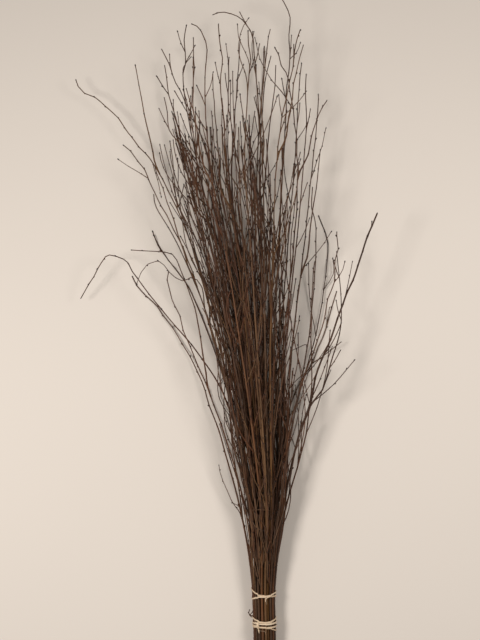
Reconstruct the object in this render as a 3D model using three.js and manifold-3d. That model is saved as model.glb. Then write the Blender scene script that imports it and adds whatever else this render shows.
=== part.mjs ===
// A tied bundle of cut birch twigs lying on its side. Millimetres, +Z up.
// The cut ends are at -Y, the brush of tips is at +Y, and the lowest twigs and the ties rest on z = 0.
import * as THREE from 'three';
import Module from 'manifold-3d';

// Driving dimensions
const SIDES = 5;            // sides of a stem's section
const TAPER_POWER = 1.6;    // how a stem thins along its length: fast near the butt, slowly near the tip
const STRAND_WIDTH = 3.0;   // raffia strand, along the bundle
const STRAND_THICK = 1.1;   // raffia strand, outward
const TIE_CLEARANCE = 0.35; // between the outermost stems and a strand
const AROUND = 36;          // steps in one turn of a strand
const UPPER_TIE_Y = -442.8; // middle of the tie farther from the cut ends
const LOWER_TIE_Y = -490.9; // middle of the tie nearer the cut ends

// Each row: radius at the butt, radius at the tip, then the centre line from butt to tip.
const STEMS = [
  [2.7, 0.8, 57.1, -574.96, 10.02, 55.82, -506.19, 10.02, 53.35, -436.64, 10.55, 50.88, -366.87, 12.51, 45.4, -297.13, 15.13, 34.84, -227.48, 18.3, 22.08, -157.98, 21.94, 8.19, -88.71, 25.11, -7.83, -19.66, 26.96, -25.14, 49.3, 27.59, -60.44, 169.87, 28.85, -87, 233.46, 30.59, -108.5, 276.35, 31.93, -128.05, 308.92, 32.98, -142.65, 324.33, 33.48, -165.7, 353.45, 34.28, -182.59, 378.1, 34.97, -220.14, 412.17, 35.74, -248.62, 427.07, 36.01, -255.41, 443.5, 36.32],
  [2.3, 0.8, 57.37, -575.03, 15.43, 56.07, -504.98, 15.43, 53.62, -435.5, 16.33, 50.95, -365.55, 20.41, 44.95, -295.67, 25.71, 33.48, -225.97, 32.18, 3.94, -87.71, 44.81, -14.05, -19.17, 49.66, -33.89, 49.1, 53.8, -65.64, 142.63, 58.56, -92.71, 198.58, 61.17, -121.36, 252.72, 63.55, -134.03, 283.66, 64.73, -161.8, 320.3, 66.14, -170.74, 327.91, 66.27],
  [2.5, 0.8, 66.88, -574.15, 14.86, 65.6, -505.1, 14.86, 63.8, -435.62, 15.72, 62.45, -296.04, 23.03, 56.86, -226.47, 27.6, 40.85, -88.15, 36.24, 22.37, 49.18, 42.8, 12.47, 117.64, 43.97, 0.25, 186.09, 44.2, -14.38, 254.51, 44.68, -36.48, 336.4, 46.55, -75.06, 421.5, 48.9, -83.55, 436.13, 49.24, -90.96, 458.91, 49.78, -107.04, 493.49, 50.19],
  [2.5, 0.8, 60.73, -570.08, 29.84, 59.46, -501.73, 29.84, 57.26, -432.48, 31.76, 55.92, -362.38, 39.38, 52.4, -292.65, 47.61, 44.54, -223.41, 55.69, 24.44, -86.42, 70.2, 0.42, 48.9, 81.87, -13.02, 116.15, 84.97, -29.27, 183.31, 86.75, -48.52, 250.5, 87.12, -74.84, 338.57, 81.87, -81.05, 370.78, 80.41, -92.02, 403.83, 79.21, -100.83, 460.6, 77.67],
  [2.4, 0.8, 52.62, -569.81, 24.21, 51.37, -503, 24.21, 48.6, -433.66, 25.72, 45.92, -363.6, 32.11, 40.97, -293.8, 39.27, 31.55, -224.46, 46.08, 18.5, -155.66, 51.04, -5.07, -87.26, 53.69, -49.44, -19.06, 54.33, -107, 49.11, 53.79, -159.35, 117.33, 52.51, -166.24, 132.69, 52.3, -194.95, 142.65, 58.11, -201.67, 141.76, 58.96, -222.31, 108.93, 48.76, -247.72, 69.97, 28.36],
  [2.4, 0.8, 52.77, -572.5, 17.94, 51.5, -504.41, 17.94, 48.73, -434.98, 19, 40.47, -365.39, 21.28, 23.91, -282.27, 22.35, 8.98, -227.06, 21.73, -10.91, -158.2, 18.63, -30.04, -106.54, 14.5, -41.98, -68.57, 11.08, -64.78, -25.29, 6.85, -80.92, 2.49, 4.98, -122.47, 59.92, 1.92, -154.04, 91.28, 1.17, -161.13, 106.97, 0.81],
  [2.2, 0.8, 56.55, -567.52, 32.95, 55.31, -501.03, 32.95, 52.82, -431.83, 35.08, 50.18, -361.69, 43.56, 44.45, -291.88, 53.2, 33.61, -222.59, 63.19, 20.52, -153.93, 72.62, 6.11, -85.84, 81.53, -11.06, -18.31, 88.9, -31.72, 48.82, 93.56, -51.73, 99.05, 94.7, -73.72, 149.28, 94.92, -91.2, 182.79, 94.76, -115.25, 223.02, 94.29, -118.24, 241.47, 94.07],
  [2, 0.8, 53.85, -570.98, 29.24, 52.57, -501.87, 29.24, 49.89, -432.61, 31.11, 45.37, -362.63, 37.88, 35.66, -292.91, 45.71, 18.55, -223.68, 53.18, -2.83, -155.08, 58.25, -27.81, -86.92, 60.33, -70.26, 15.05, 58.2, -77.81, 43.98, 57, -89.36, 66.12, 55.89, -97.45, 101.94, 53.99, -95.6, 113.89, 53.36],
  [2.9, 1.35, 86.38, -568.98, 26.73, 85.13, -502.43, 26.73, 84.7, -433.13, 28.43, 90.83, -362.87, 36.45, 99.86, -292.83, 46.27, 111.54, -226.74, 56.38, 128.93, -152.67, 67.13, 140.75, -121.89, 71.33, 148.6, -94.11, 75.12, 153.53, -62.36, 79.23, 179.58, 3.5, 87.27, 201.34, 67.24, 93.9, 219.95, 111.34, 97.65, 232, 151.02, 100.14, 243.29, 182.31, 102.02, 254.93, 209.46, 102.88],
  [2.2, 0.8, 87.4, -572.4, 15.68, 86.14, -504.92, 15.68, 85.78, -435.45, 16.6, 93.02, -365.55, 20.46, 104.41, -295.74, 25.25, 137.48, -174.17, 34.42, 143.85, -131.01, 37.19, 149.4, -70.8, 40.31, 147.88, -2.19, 42.54, 150.91, 103.95, 43.85, 154.04, 131.34, 43.96],
  [2.2, 0.8, 84.31, -570.38, 31.89, 83.03, -501.27, 31.89, 82.45, -432.05, 33.95, 87.77, -361.99, 41.76, 101.6, -222.89, 60.48, 109.76, -154.27, 68.36, 119.63, -111.69, 72.12, 135.45, -60.81, 75.82, 165.23, 21.94, 79, 175.48, 71.68, 79.08, 184.63, 93.11, 78.66, 186.94, 133.29, 77.68, 191.38, 151.88, 77.09, 189.58, 179.61, 76.22],
  [2.2, 0.8, 85.35, -573.77, 11.36, 84.08, -505.89, 11.36, 83.58, -436.4, 11.76, 89.54, -366.96, 11.87, 106, -228.08, 12.46, 115.11, -158.76, 11.8, 131.12, -89.43, 10.53, 160.58, 18.16, 7.46, 177.35, 126.75, 3.25, 178.3, 173.13, 1.66, 163.54, 212.38, 0.81],
  [2.3, 0.8, 80.6, -566.5, 35.3, 79.36, -500.5, 35.3, 78.53, -431.33, 37.59, 84.19, -361.11, 46.98, 102.71, -222.04, 68.28, 113.2, -153.54, 77.46, 139.63, -9.83, 93.61, 146.16, 48.78, 98.27, 152.12, 125.61, 100.54, 152.31, 195.79, 100.26, 146.3, 219.22, 99.87, 147.35, 252.69, 99.34],
  [2, 0.8, 82.19, -576.97, 8.03, 80.88, -506.64, 8.03, 80.15, -437.06, 8.4, 90.95, -297.97, 8.96, 96.13, -228.58, 8.07, 103.9, -159.19, 6.61, 120.31, -98.44, 4.75, 154.4, -37.6, 2.61, 160.26, -20.2, 1.98, 169.92, -0.34, 1.7, 194.3, 80.86, 0.81],
  [2.9, 0.8, 73.48, -568.58, 28.31, 72.23, -502.07, 28.31, 70.91, -432.8, 30.12, 75.15, -292.81, 46.47, 74.38, -223.5, 54.86, 70.12, -86.53, 67.99, 67.99, 48.93, 77.97, 67.24, 183.43, 84.92, 65.33, 250.56, 86.5, 62.58, 317.81, 86.32, 50.81, 469.68, 83.15, 46.42, 513.27, 84, 36.32, 529.07, 84.85, 22.87, 542.53, 84.85, -1.54, 550.48, 83.15, -18.44, 547.02, 79.75],
  [2.8, 0.8, 77.23, -574.3, 19.04, 75.93, -504.16, 19.04, 74.86, -434.75, 20.19, 81.72, -294.91, 31.23, 82.72, -156.19, 44.3, 83.75, -19.02, 56.29, 86.57, 49.06, 60.07, 90.42, 116.98, 62.09, 96.59, 252.46, 66.31, 104.36, 387.32, 71.4, 104.41, 420.98, 72.41, 109.29, 454.62, 73.42, 110.39, 489.94, 74.32, 108.49, 509.27, 74.81, 110.82, 543.73, 75.57, 103.72, 562.22, 75.94, 95.11, 577.34, 76.25],
  [2.8, 0.8, 62.42, -572.52, 24.34, 61.12, -502.97, 24.34, 59.03, -433.63, 25.87, 58.11, -363.65, 31.81, 55.21, -293.91, 38.5, 48.06, -224.52, 45.47, 39.04, -155.59, 51.91, 18.48, -18.89, 62.13, 7.3, 49.02, 65.43, -4.83, 116.82, 66.64, -19.32, 184.66, 66.06, -45.52, 295.19, 63.3, -68.26, 414.43, 60.78, -70.55, 451.09, 60.1, -66.9, 463.89, 59.85, -66.77, 487.78, 59.36, -69.14, 508.27, 58.95, -65.14, 532.17, 58.52],
  [2.5, 0.8, 66.37, -566.83, 37.12, 65.13, -500.09, 37.12, 63.32, -430.95, 39.54, 63.2, -360.84, 48.6, 61.36, -291.02, 59.38, 55.29, -221.72, 71.22, 38.08, -85.3, 92.29, 28.11, -18.07, 99.72, 18.15, 48.74, 104.61, 7.59, 115.36, 106.92, -17.19, 248.54, 107.82, -25.88, 315.22, 107.24, -30.47, 361.14, 106.46, -32.24, 438.07, 104.88, -28.75, 486.65, 103.72, -34.08, 504.26, 103.29, -43.64, 521.02, 102.93, -53.21, 525.71, 102.86],
  [2.6, 0.8, 67.95, -571.52, 26.22, 66.67, -502.54, 26.22, 64.96, -433.24, 27.88, 64.69, -293.28, 43.05, 60.15, -223.87, 51.47, 46.92, -86.68, 65.05, 32.42, 48.94, 75.99, 25.13, 116.32, 80.37, 7.26, 250.75, 84.46, 0.86, 318.01, 84.72, -0.23, 368.46, 84.79, -5.47, 402.09, 84.85, -6.17, 444.12, 84.93, -3.24, 473.55, 84.96, -8.71, 502.98, 84.97, -10.11, 529.04, 84.98],
  [2.8, 0.8, 81.2, -567.3, 23.44, 79.99, -503.17, 23.44, 79.21, -433.82, 24.9, 88.71, -293.75, 39.64, 91.91, -224.33, 47.23, 96.17, -86.93, 60.18, 99.76, -18.81, 66.09, 105.68, 48.98, 71.47, 119.05, 183.77, 79.72, 122.92, 259.26, 83.45, 121.74, 322.94, 85.61, 119.06, 356.48, 86.22, 112.39, 405.11, 86.96, 107.09, 435.3, 87.3, 103.26, 448.71, 87.46, 96.54, 458.77, 87.55, 91.68, 474.54, 87.7, 85, 488.62, 87.82],
  [2.5, 0.8, 75.62, -567.28, 33.69, 74.38, -500.86, 33.69, 73.21, -431.67, 35.87, 78.87, -291.57, 55.46, 79.18, -222.28, 66.04, 78.1, -153.71, 75.44, 76.95, -18.23, 92.7, 78.33, 48.77, 100.24, 80.6, 115.4, 105.57, 84.27, 248.23, 111.1, 89.01, 314.62, 112.17, 96.8, 372.76, 112.33, 113.03, 447.58, 112.2, 120.51, 499.1, 112.2, 125.99, 513.06, 112.19],
  [2.4, 0.8, 80.58, -575.9, 13.2, 79.27, -505.48, 13.2, 78.43, -435.97, 13.94, 87.27, -296.4, 20.46, 89.77, -226.75, 25.06, 92.13, -88.25, 34.2, 94.55, -19.44, 37.17, 105.1, 117.79, 39.91, 110.61, 186.29, 41.11, 121.23, 322.87, 45.33, 126.43, 421.53, 48.68, 131.23, 469.14, 49.86],
  [2.4, 0.8, 82.84, -572.64, 18, 81.56, -504.4, 18, 80.89, -434.96, 19.09, 91.15, -295.11, 29.82, 94.75, -225.67, 34.93, 99.42, -87.7, 45.09, 103.2, -19.13, 51.05, 109.42, 49.09, 56.49, 124.42, 184.91, 62.31, 135.15, 311.94, 65.16, 139.01, 366.93, 66.11, 137.05, 421.9, 66.95, 138.31, 447.26, 67.31],
  [2.5, 0.8, 87.26, -571.73, 20.96, 85.99, -503.73, 20.96, 85.62, -434.34, 22.25, 98.1, -294.5, 34.22, 103, -225.03, 40.85, 109.59, -87.33, 52.4, 114.51, -19.01, 56.8, 121.96, 49.06, 59.54, 136.32, 168.04, 60.26, 144.73, 253.01, 60.54, 157.6, 375.28, 61.23, 159.3, 414.35, 61.25],
  [2.5, 0.8, 75.15, -574.57, 12.85, 73.86, -505.56, 12.85, 72.65, -436.04, 13.57, 77.1, -296.3, 21.13, 76.01, -226.75, 25.04, 73.05, -157.44, 28.76, 66.88, -19.46, 35.94, 63.84, 117.69, 42.55, 59.51, 254, 49.99, 60.55, 321.9, 53.15, 66.08, 410.07, 56.23, 69.8, 443.94, 57.26, 78.7, 480.21, 58.08],
  [2.4, 0.8, 71.99, -568.13, 38.54, 70.72, -499.77, 38.54, 69.3, -430.65, 41.06, 70.79, -360.49, 50.72, 71.57, -290.63, 62.27, 68.9, -221.33, 74.8, 59.53, -85.07, 96.69, 50.44, 48.67, 113, 46.52, 114.96, 117.85, 41.52, 181.12, 120.23, 36.35, 247.32, 120.77, 34.14, 313.58, 120.58, 41.6, 446.19, 119.84, 44.35, 462.78, 119.7, 40.2, 487.67, 119.48, 39.53, 510.25, 119.29],
  [2.1, 0.8, 60.83, -575.65, 6.23, 59.55, -507.05, 6.23, 57.33, -437.44, 6.47, 55.05, -367.85, 6.66, 49.11, -298.24, 7.07, 37.02, -228.7, 7.11, 21.37, -159.2, 6.56, 3.26, -89.72, 5.16, -18.71, -20.17, 3.37, -60.89, 84.33, 1.43, -82.29, 115.71, 1.11, -98.83, 136.62, 0.99, -118.09, 166.26, 0.88, -125.84, 185.43, 0.81],
  [2.73, 0.8, 67.09, -570.84, 20.55, 65.83, -503.82, 20.55, 64.06, -434.43, 21.81, 63.64, -294.69, 32.83, 59.38, -225.26, 38.7, 47.57, -87.5, 48.93, 37.47, 49.08, 57.63, 30.75, 117.08, 59.39, 10.44, 253.09, 59.67, 5.61, 320.88, 61.47, 7.45, 475.95, 67.9],
  [2.26, 0.8, 70.37, -565.78, 33.74, 69.14, -500.85, 33.74, 67.61, -431.66, 35.92, 69.57, -291.89, 53.11, 66.55, -222.64, 62.73, 55.53, -85.8, 82.38, 48.37, -18.24, 92.21, 41.59, 48.77, 99.69, 35.81, 115.51, 102.58, 26.06, 248.96, 103.39, 23.71, 351.73, 108.21],
  [2.71, 0.8, 70.11, -572.53, 10.17, 68.86, -506.16, 10.17, 67.3, -436.65, 10.51, 67.14, -297.79, 9.86, 62, -228.3, 10.02, 54.36, -158.79, 10.82, 45.45, -89.32, 11.86, 24, 49.39, 12.58, 13.02, 118.77, 10.85, -12.59, 258.1, 3.92, -23.14, 328, 0.82, -26.05, 366.28, 0.95],
  [2.67, 0.8, 75.65, -573.27, 7.26, 74.41, -506.82, 7.26, 73.22, -437.23, 7.55, 78.24, -298.05, 7.93, 78.13, -228.51, 8.07, 71.99, -89.43, 9.56, 64.99, 49.4, 11.46, 62.33, 118.75, 11.07, 55.83, 257.93, 5.52, 57.27, 327.85, 1.8, 62.29, 397.55, 0.86, 66.71, 466.64, 3.75, 67.68, 504.3, 6.71],
  [2.43, 0.8, 65.89, -568.18, 31.32, 64.64, -501.4, 31.32, 62.8, -432.17, 33.33, 60.75, -292.4, 49.43, 47.65, -154.44, 66.21, 41.47, -86.2, 74.55, 29.58, 48.84, 90.03, 20.29, 115.77, 95.38, -5.48, 249.17, 101.16, -11.42, 299.24, 101.47],
  [2.29, 0.8, 62.32, -575.7, 17.97, 61, -504.4, 17.97, 58.89, -434.97, 19.05, 55.79, -295.22, 28.97, 49.76, -225.75, 34.16, 41.47, -156.65, 38.61, 31.15, -87.86, 41.88, 18.21, -19.29, 44.15, -9.66, 117.47, 48.79, -40.19, 253.57, 54.55, -48.41, 321.52, 56.28, -49.38, 392.86, 57.41],
  [2.41, 0.8, 61.87, -572.29, 12.84, 60.62, -505.56, 12.84, 58.48, -436.05, 13.57, 57.27, -366.29, 15.99, 53.8, -296.65, 18.59, 45.83, -227.17, 21.16, 23.49, -88.56, 28.21, 9.33, -19.56, 31.61, -5.24, 49.26, 32.82, -20.72, 118.08, 31.06, -59.11, 256.03, 27.51, -72.11, 324.94, 28.59, -73.22, 342.11, 29.05],
  [2.49, 0.8, 71.76, -571.88, 17.19, 70.5, -504.58, 17.19, 69.05, -435.13, 18.22, 71.91, -295.4, 27.69, 68.96, -226.04, 31.59, 57.5, -88.07, 37.85, 53.27, -19.34, 41.67, 52.06, 117.46, 48.86, 45.3, 253.66, 53.64, 42.76, 321.7, 54.79, 41.87, 379.72, 54.2],
  [2.65, 0.8, 60.87, -566.57, 35.98, 59.63, -500.35, 35.98, 57.45, -431.19, 38.32, 56.01, -361.1, 47.04, 52.85, -291.3, 57.4, 45.58, -222.01, 68.49, 25.28, -85.51, 88.19, 12.4, -18.15, 96.46, -2, 48.75, 103.14, -18.92, 115.36, 106.9, -56.38, 248.18, 111.66, -60.9, 284.48, 114.14],
  [2.79, 0.8, 79.59, -569.8, 29.25, 78.32, -501.86, 29.25, 77.42, -432.6, 31.12, 82.48, -292.68, 47.37, 82.32, -223.4, 55.78, 79.28, -86.43, 70.06, 78.41, -18.59, 75.85, 80.69, 116.2, 83.65, 79.6, 183.25, 87.74, 70.62, 332.94, 99.16],
  [2.21, 0.8, 64.95, -577.68, 8.71, 63.63, -506.49, 8.71, 61.71, -436.99, 8.76, 58.47, -298.61, 3.65, 51.6, -229.16, 1.74, 42.54, -159.5, 1.3, 22.54, -20.11, 4.51, 3.74, 119.03, 4.15, -31.55, 275.86, 1.34],
  [2.13, 0.8, 57.3, -572.81, 26.17, 56, -502.56, 26.17, 53.55, -433.25, 27.82, 51.13, -363.15, 34.79, 46.34, -293.38, 42.32, 37.21, -224.1, 49.35, 14.51, -86.95, 59.83, -0.52, -18.83, 65.16, -18.65, 48.97, 71.76, -39.98, 116.4, 78.22, -63.7, 183.53, 83.39, -84.81, 250.57, 86.32, -87.89, 270.72, 86.51],
  [2.46, 0.8, 68.37, -574.49, 4.87, 67.12, -507.35, 4.87, 65.42, -437.72, 5.04, 64.84, -298.47, 5.16, 60.13, -228.95, 4.41, 46.41, -89.71, 4.75, 31.9, 49.43, 7.87, 22.14, 118.95, 6.55, -3.8, 258.5, 0.81],
  [2.74, 0.8, 57.49, -569.64, 20.88, 56.26, -503.75, 20.88, 53.82, -434.36, 22.17, 52.25, -364.35, 27.6, 48.12, -294.65, 33.13, 39.38, -225.31, 38.23, 18.51, -87.53, 48.31, -9.1, 49.07, 58.57, -42.24, 184.8, 63.96, -50.9, 227.15, 64.88],
  [2.46, 0.8, 72.51, -573.71, 22.5, 71.2, -503.38, 22.5, 69.81, -434.02, 23.9, 73.32, -294.36, 35.18, 71.07, -225.03, 40.78, 66.75, -156.02, 46.43, 56.04, -18.93, 60.22, 52.61, 49.01, 66.37, 52.04, 116.73, 69.02, 50.83, 269.3, 67.47],
];
// The main forks. Each starts at the side of its parent stem.
const BRANCHES = [
  [1.45, 0.8, -121.42, 304.65, 40.13, -124.9, 333.42, 43.09, -135.59, 361.94, 47.33, -134.92, 387.01, 51.07, -147.67, 439.59, 58.78, -151.55, 463.87, 61.79],
  [1.5, 0.8, 162.54, -96.34, 74.49, 174.19, -55.82, 73.71, 188.08, -15.28, 72.79, 196.05, 16.84, 71.97, 197.48, 50.67, 71.1, 196.56, 81.14, 70.38, 189.77, 147.21, 69.11],
  [1.5, 0.8, -45.66, 250.78, 84.13, -52.25, 292.35, 88.53, -65.88, 317.21, 91.17, -68.04, 323.84, 91.76, -88.42, 342.07, 93.37, -93.33, 355.31, 94.55, -96.64, 378.45, 96.61, -95.91, 383.41, 97.05, -100.42, 403.33, 97.98],
  [1.5, 0.8, -33.23, 273.2, 110.89, -37.64, 314.56, 112.63, -47.45, 355.74, 115.16, -48.82, 380.41, 116.68, -52, 392.56, 117.45, -49.78, 414.06, 118.82, -49.97, 446.01, 120.86, -46.32, 472.9, 122.21, -50.86, 497.96, 123.48],
  [1.5, 0.8, 67.47, 317.24, 90.92, 61.85, 399.94, 98.29, 67.34, 449.2, 103.28, 69.45, 481.98, 106.27, 76.22, 514.68, 109.25],
  [1.5, 0.8, 98.57, 318.41, 108.4, 114.52, 408.23, 98.72, 119.5, 444.94, 94.43, 123.88, 466.26, 92.41, 129.95, 481.6, 91.09, 132.35, 492.53, 90.16],
  [1.5, 0.8, 136.78, 291.64, 94.79, 139.62, 316.42, 97.56, 144.12, 340.93, 101.9, 153.28, 365.34, 106.23, 170.29, 396.32, 110.52],
  [1.5, 0.8, -28.87, -78.23, 64.53, -37.63, -18.8, 66.52, -49.59, 48.99, 69.36, -58.19, 82.83, 70.71, -73.73, 116.61, 72.13, -63.38, 133.3, 73.9, -88.74, 142.78, 73, -156.09, 150.23, 76.31],
  [1.6, 0.8, 12.72, 236.43, 55.71, 12.3, 304.96, 52.26, 18.22, 391.08, 46.74, 26.77, 512.15, 39.86],
  [1.6, 0.8, 65.87, 238.82, 28.37, 72.93, 321.71, 54.71, 76.54, 362, 71.02, 83.54, 409.76, 89.36, 85.29, 449.13, 103.63, 85.88, 455.62, 104.66],
  [1.6, 0.8, -3.87, 234.48, 78.14, -8.44, 294.39, 70.39, -18.39, 407.18, 53.01, -20.23, 450.82, 47.3],
  [1.6, 0.8, 139.15, 125.24, 67.98, 142.96, 175.61, 75.31, 156.93, 275.14, 92.45, 160.16, 316.24, 99.03],
  [1.6, 0.8, -43.24, 203.78, 33.49, -54.33, 252.75, 23.23, -70.28, 300.45, 12.17, -76.82, 327.17, 6, -82.17, 344.72, 4.36, -90.42, 383.43, 0.81],
  [1.5, 0.8, -56.47, 108.49, 65.8, -80.36, 183.74, 80.9, -102.34, 249.65, 96.15, -115.35, 285.86, 101.65],
];

const wasm = await Module();
wasm.setup();

function geometryOf(positions, triangles) {
  const g = new THREE.BufferGeometry();
  g.setAttribute('position', new THREE.Float32BufferAttribute(positions, 3));
  g.setIndex(triangles);
  const flat = g.toNonIndexed();
  flat.computeVertexNormals();
  return flat;
}

function routeOf(row) {
  const pts = [];
  for (let i = 2; i < row.length; i += 3) pts.push(new THREE.Vector3(row[i], row[i + 1], row[i + 2]));
  const along = [0];
  for (let i = 1; i < pts.length; i++) along.push(along[i - 1] + pts[i].distanceTo(pts[i - 1]));
  const total = along[along.length - 1];
  const radii = along.map((l) => row[1] + (row[0] - row[1]) * Math.pow(1 - l / total, TAPER_POWER));
  return { pts, radii };
}

// A tapered stick along a bent line, with flat cut ends
function stick(row) {
  const { pts, radii } = routeOf(row);
  const positions = [];
  const triangles = [];
  const up = new THREE.Vector3(0, 0, 1);
  for (let i = 0; i < pts.length; i++) {
    const t = new THREE.Vector3();
    if (i > 0) t.add(pts[i].clone().sub(pts[i - 1]).normalize());
    if (i < pts.length - 1) t.add(pts[i + 1].clone().sub(pts[i]).normalize());
    t.normalize();
    const n = up.clone().addScaledVector(t, -up.dot(t)).normalize();
    const b = t.clone().cross(n);
    for (let k = 0; k < SIDES; k++) {
      const a = (2 * Math.PI * k) / SIDES;
      const p = pts[i].clone().addScaledVector(n, -radii[i] * Math.cos(a)).addScaledVector(b, -radii[i] * Math.sin(a));
      positions.push(p.x, p.y, p.z);
    }
  }
  const at = (i, k) => i * SIDES + (k % SIDES);
  for (let i = 0; i < pts.length - 1; i++) {
    for (let k = 0; k < SIDES; k++) {
      triangles.push(at(i, k), at(i, k + 1), at(i + 1, k + 1), at(i, k), at(i + 1, k + 1), at(i + 1, k));
    }
  }
  const last = pts.length - 1;
  for (let k = 1; k < SIDES - 1; k++) {
    triangles.push(at(0, 0), at(0, k + 1), at(0, k));
    triangles.push(at(last, 0), at(last, k), at(last, k + 1));
  }
  return outward(positions, triangles);
}

function outward(positions, triangles) {
  let volume = 0;
  const v = (i) => new THREE.Vector3(positions[3 * i], positions[3 * i + 1], positions[3 * i + 2]);
  for (let i = 0; i < triangles.length; i += 3) {
    volume += v(triangles[i]).dot(v(triangles[i + 1]).cross(v(triangles[i + 2])));
  }
  if (volume < 0) {
    for (let i = 0; i < triangles.length; i += 3) {
      [triangles[i + 1], triangles[i + 2]] = [triangles[i + 2], triangles[i + 1]];
    }
  }
  return { positions, triangles };
}

// The stems' round sections where a plane across the bundle cuts them
const routes = STEMS.map(routeOf);
function sectionsAt(y) {
  const found = [];
  for (const { pts, radii } of routes) {
    for (let i = 0; i < pts.length - 1; i++) {
      if (pts[i].y <= y && y <= pts[i + 1].y) {
        const s = (y - pts[i].y) / (pts[i + 1].y - pts[i].y);
        found.push({
          x: pts[i].x + (pts[i + 1].x - pts[i].x) * s,
          z: pts[i].z + (pts[i + 1].z - pts[i].z) * s,
          r: radii[i] + (radii[i + 1] - radii[i]) * s,
        });
        break;
      }
    }
  }
  return found;
}

// A point outside the bundle whose outward direction is at the angle: 0 right, 90 top, 180 left, 270 below
function onBundle(degrees, y, lift) {
  const a = (degrees * Math.PI) / 180;
  const nx = Math.cos(a);
  const nz = Math.sin(a);
  let best = null;
  let most = -Infinity;
  for (const c of sectionsAt(y)) {
    const reach = c.x * nx + c.z * nz + c.r;
    if (reach > most) { most = reach; best = c; }
  }
  const d = best.r + TIE_CLEARANCE + STRAND_THICK / 2 + lift;
  return { p: new THREE.Vector3(best.x + nx * d, y, best.z + nz * d), n: new THREE.Vector3(nx, 0, nz) };
}

// A flat strand through the given points, closed into a ring or with two cut ends
function strand(points, closed, width = STRAND_WIDTH, thick = STRAND_THICK) {
  const at = points.map(([deg, y, lift]) => onBundle(deg, y, lift));
  const count = at.length;
  const positions = [];
  const triangles = [];
  for (let i = 0; i < count; i++) {
    const before = at[closed ? (i + count - 1) % count : Math.max(i - 1, 0)].p;
    const after = at[closed ? (i + 1) % count : Math.min(i + 1, count - 1)].p;
    const t = after.clone().sub(before).normalize();
    const n = at[i].n.clone().addScaledVector(t, -at[i].n.dot(t)).normalize();
    const b = n.clone().cross(t).normalize();
    for (const [u, w] of [[-1, -1], [1, -1], [1, 1], [-1, 1]]) {
      const p = at[i].p.clone().addScaledVector(b, (u * width) / 2).addScaledVector(n, (w * thick) / 2);
      positions.push(p.x, p.y, p.z);
    }
  }
  const rings = closed ? count : count - 1;
  for (let i = 0; i < rings; i++) {
    const j = (i + 1) % count;
    for (let k = 0; k < 4; k++) {
      const m = (k + 1) % 4;
      triangles.push(4 * i + k, 4 * i + m, 4 * j + m, 4 * i + k, 4 * j + m, 4 * j + k);
    }
  }
  if (!closed) {
    const e = 4 * (count - 1);
    triangles.push(0, 2, 1, 0, 3, 2, e, e + 1, e + 2, e, e + 2, e + 3);
  }
  return solid(outward(positions, triangles));
}

function solid({ positions, triangles }) {
  return new wasm.Manifold(new wasm.Mesh({
    numProp: 3,
    vertProperties: new Float32Array(positions),
    triVerts: new Uint32Array(triangles),
  }));
}

// One turn round the bundle: distances along the bundle at the right, top, left and underside,
// raised a little where it passes over another turn
function turn(right, top, left, below, over = []) {
  const keys = [right, top, left, below];
  const points = [];
  for (let i = 0; i < AROUND; i++) {
    const deg = (360 * i) / AROUND;
    const q = Math.floor(deg / 90);
    const s = (deg - 90 * q) / 90;
    const e = s * s * (3 - 2 * s);
    const y = keys[q] + (keys[(q + 1) % 4] - keys[q]) * (0.5 * s + 0.5 * e);
    let lift = 0;
    for (const [at, high, wide] of over) {
      const d = Math.abs(((deg - at + 540) % 360) - 180) / wide;
      lift = Math.max(lift, high * Math.max(0, 1 - d * d));
    }
    points.push([deg, y, lift]);
  }
  return strand(points, true);
}

// A flat lump of knotted strand lying on the bundle
function knot(degrees, y, across, along, high, lift) {
  const { p, n } = onBundle(degrees, y, lift);
  const ball = new THREE.SphereGeometry(1, 9, 6);
  ball.deleteAttribute('normal');
  ball.deleteAttribute('uv');
  const side = new THREE.Vector3(0, 1, 0).cross(n).normalize();
  const m = new THREE.Matrix4().makeBasis(side.multiplyScalar(across / 2), new THREE.Vector3(0, along / 2, 0), n.clone().multiplyScalar(high / 2));
  m.setPosition(p);
  ball.applyMatrix4(m);
  const seen = new Map();
  const positions = [];
  const index = [];
  const src = ball.attributes.position;
  for (let i = 0; i < src.count; i++) {
    const key = [src.getX(i), src.getY(i), src.getZ(i)].map((c) => c.toFixed(4)).join();
    if (!seen.has(key)) {
      seen.set(key, positions.length / 3);
      positions.push(src.getX(i), src.getY(i), src.getZ(i));
    }
    index.push(seen.get(key));
  }
  const triangles = [];
  const ids = ball.index.array;
  for (let i = 0; i < ids.length; i += 3) {
    const [a, b, c] = [index[ids[i]], index[ids[i + 1]], index[ids[i + 2]]];
    if (a !== b && b !== c && a !== c) triangles.push(a, b, c);
  }
  return solid(outward(positions, triangles));
}

function meshOfSolid(manifold) {
  const mesh = manifold.getMesh();
  return geometryOf(Array.from(mesh.vertProperties), Array.from(mesh.triVerts));
}

const group = new THREE.Group();
group.name = 'bundle_of_twigs';
function addNode(name, geometry, colour, roughness) {
  const node = new THREE.Mesh(geometry, new THREE.MeshStandardMaterial({ color: colour, roughness }));
  node.name = name;
  group.add(node);
}

STEMS.forEach((row, i) => {
  const { positions, triangles } = stick(row);
  addNode(`stem_${String(i + 1).padStart(2, '0')}`, geometryOf(positions, triangles), 0x4a3020, 0.6);
});
BRANCHES.forEach((row, i) => {
  const { positions, triangles } = stick(row);
  addNode(`branch_${String(i + 1).padStart(2, '0')}`, geometryOf(positions, triangles), 0x4a3020, 0.6);
});

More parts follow.
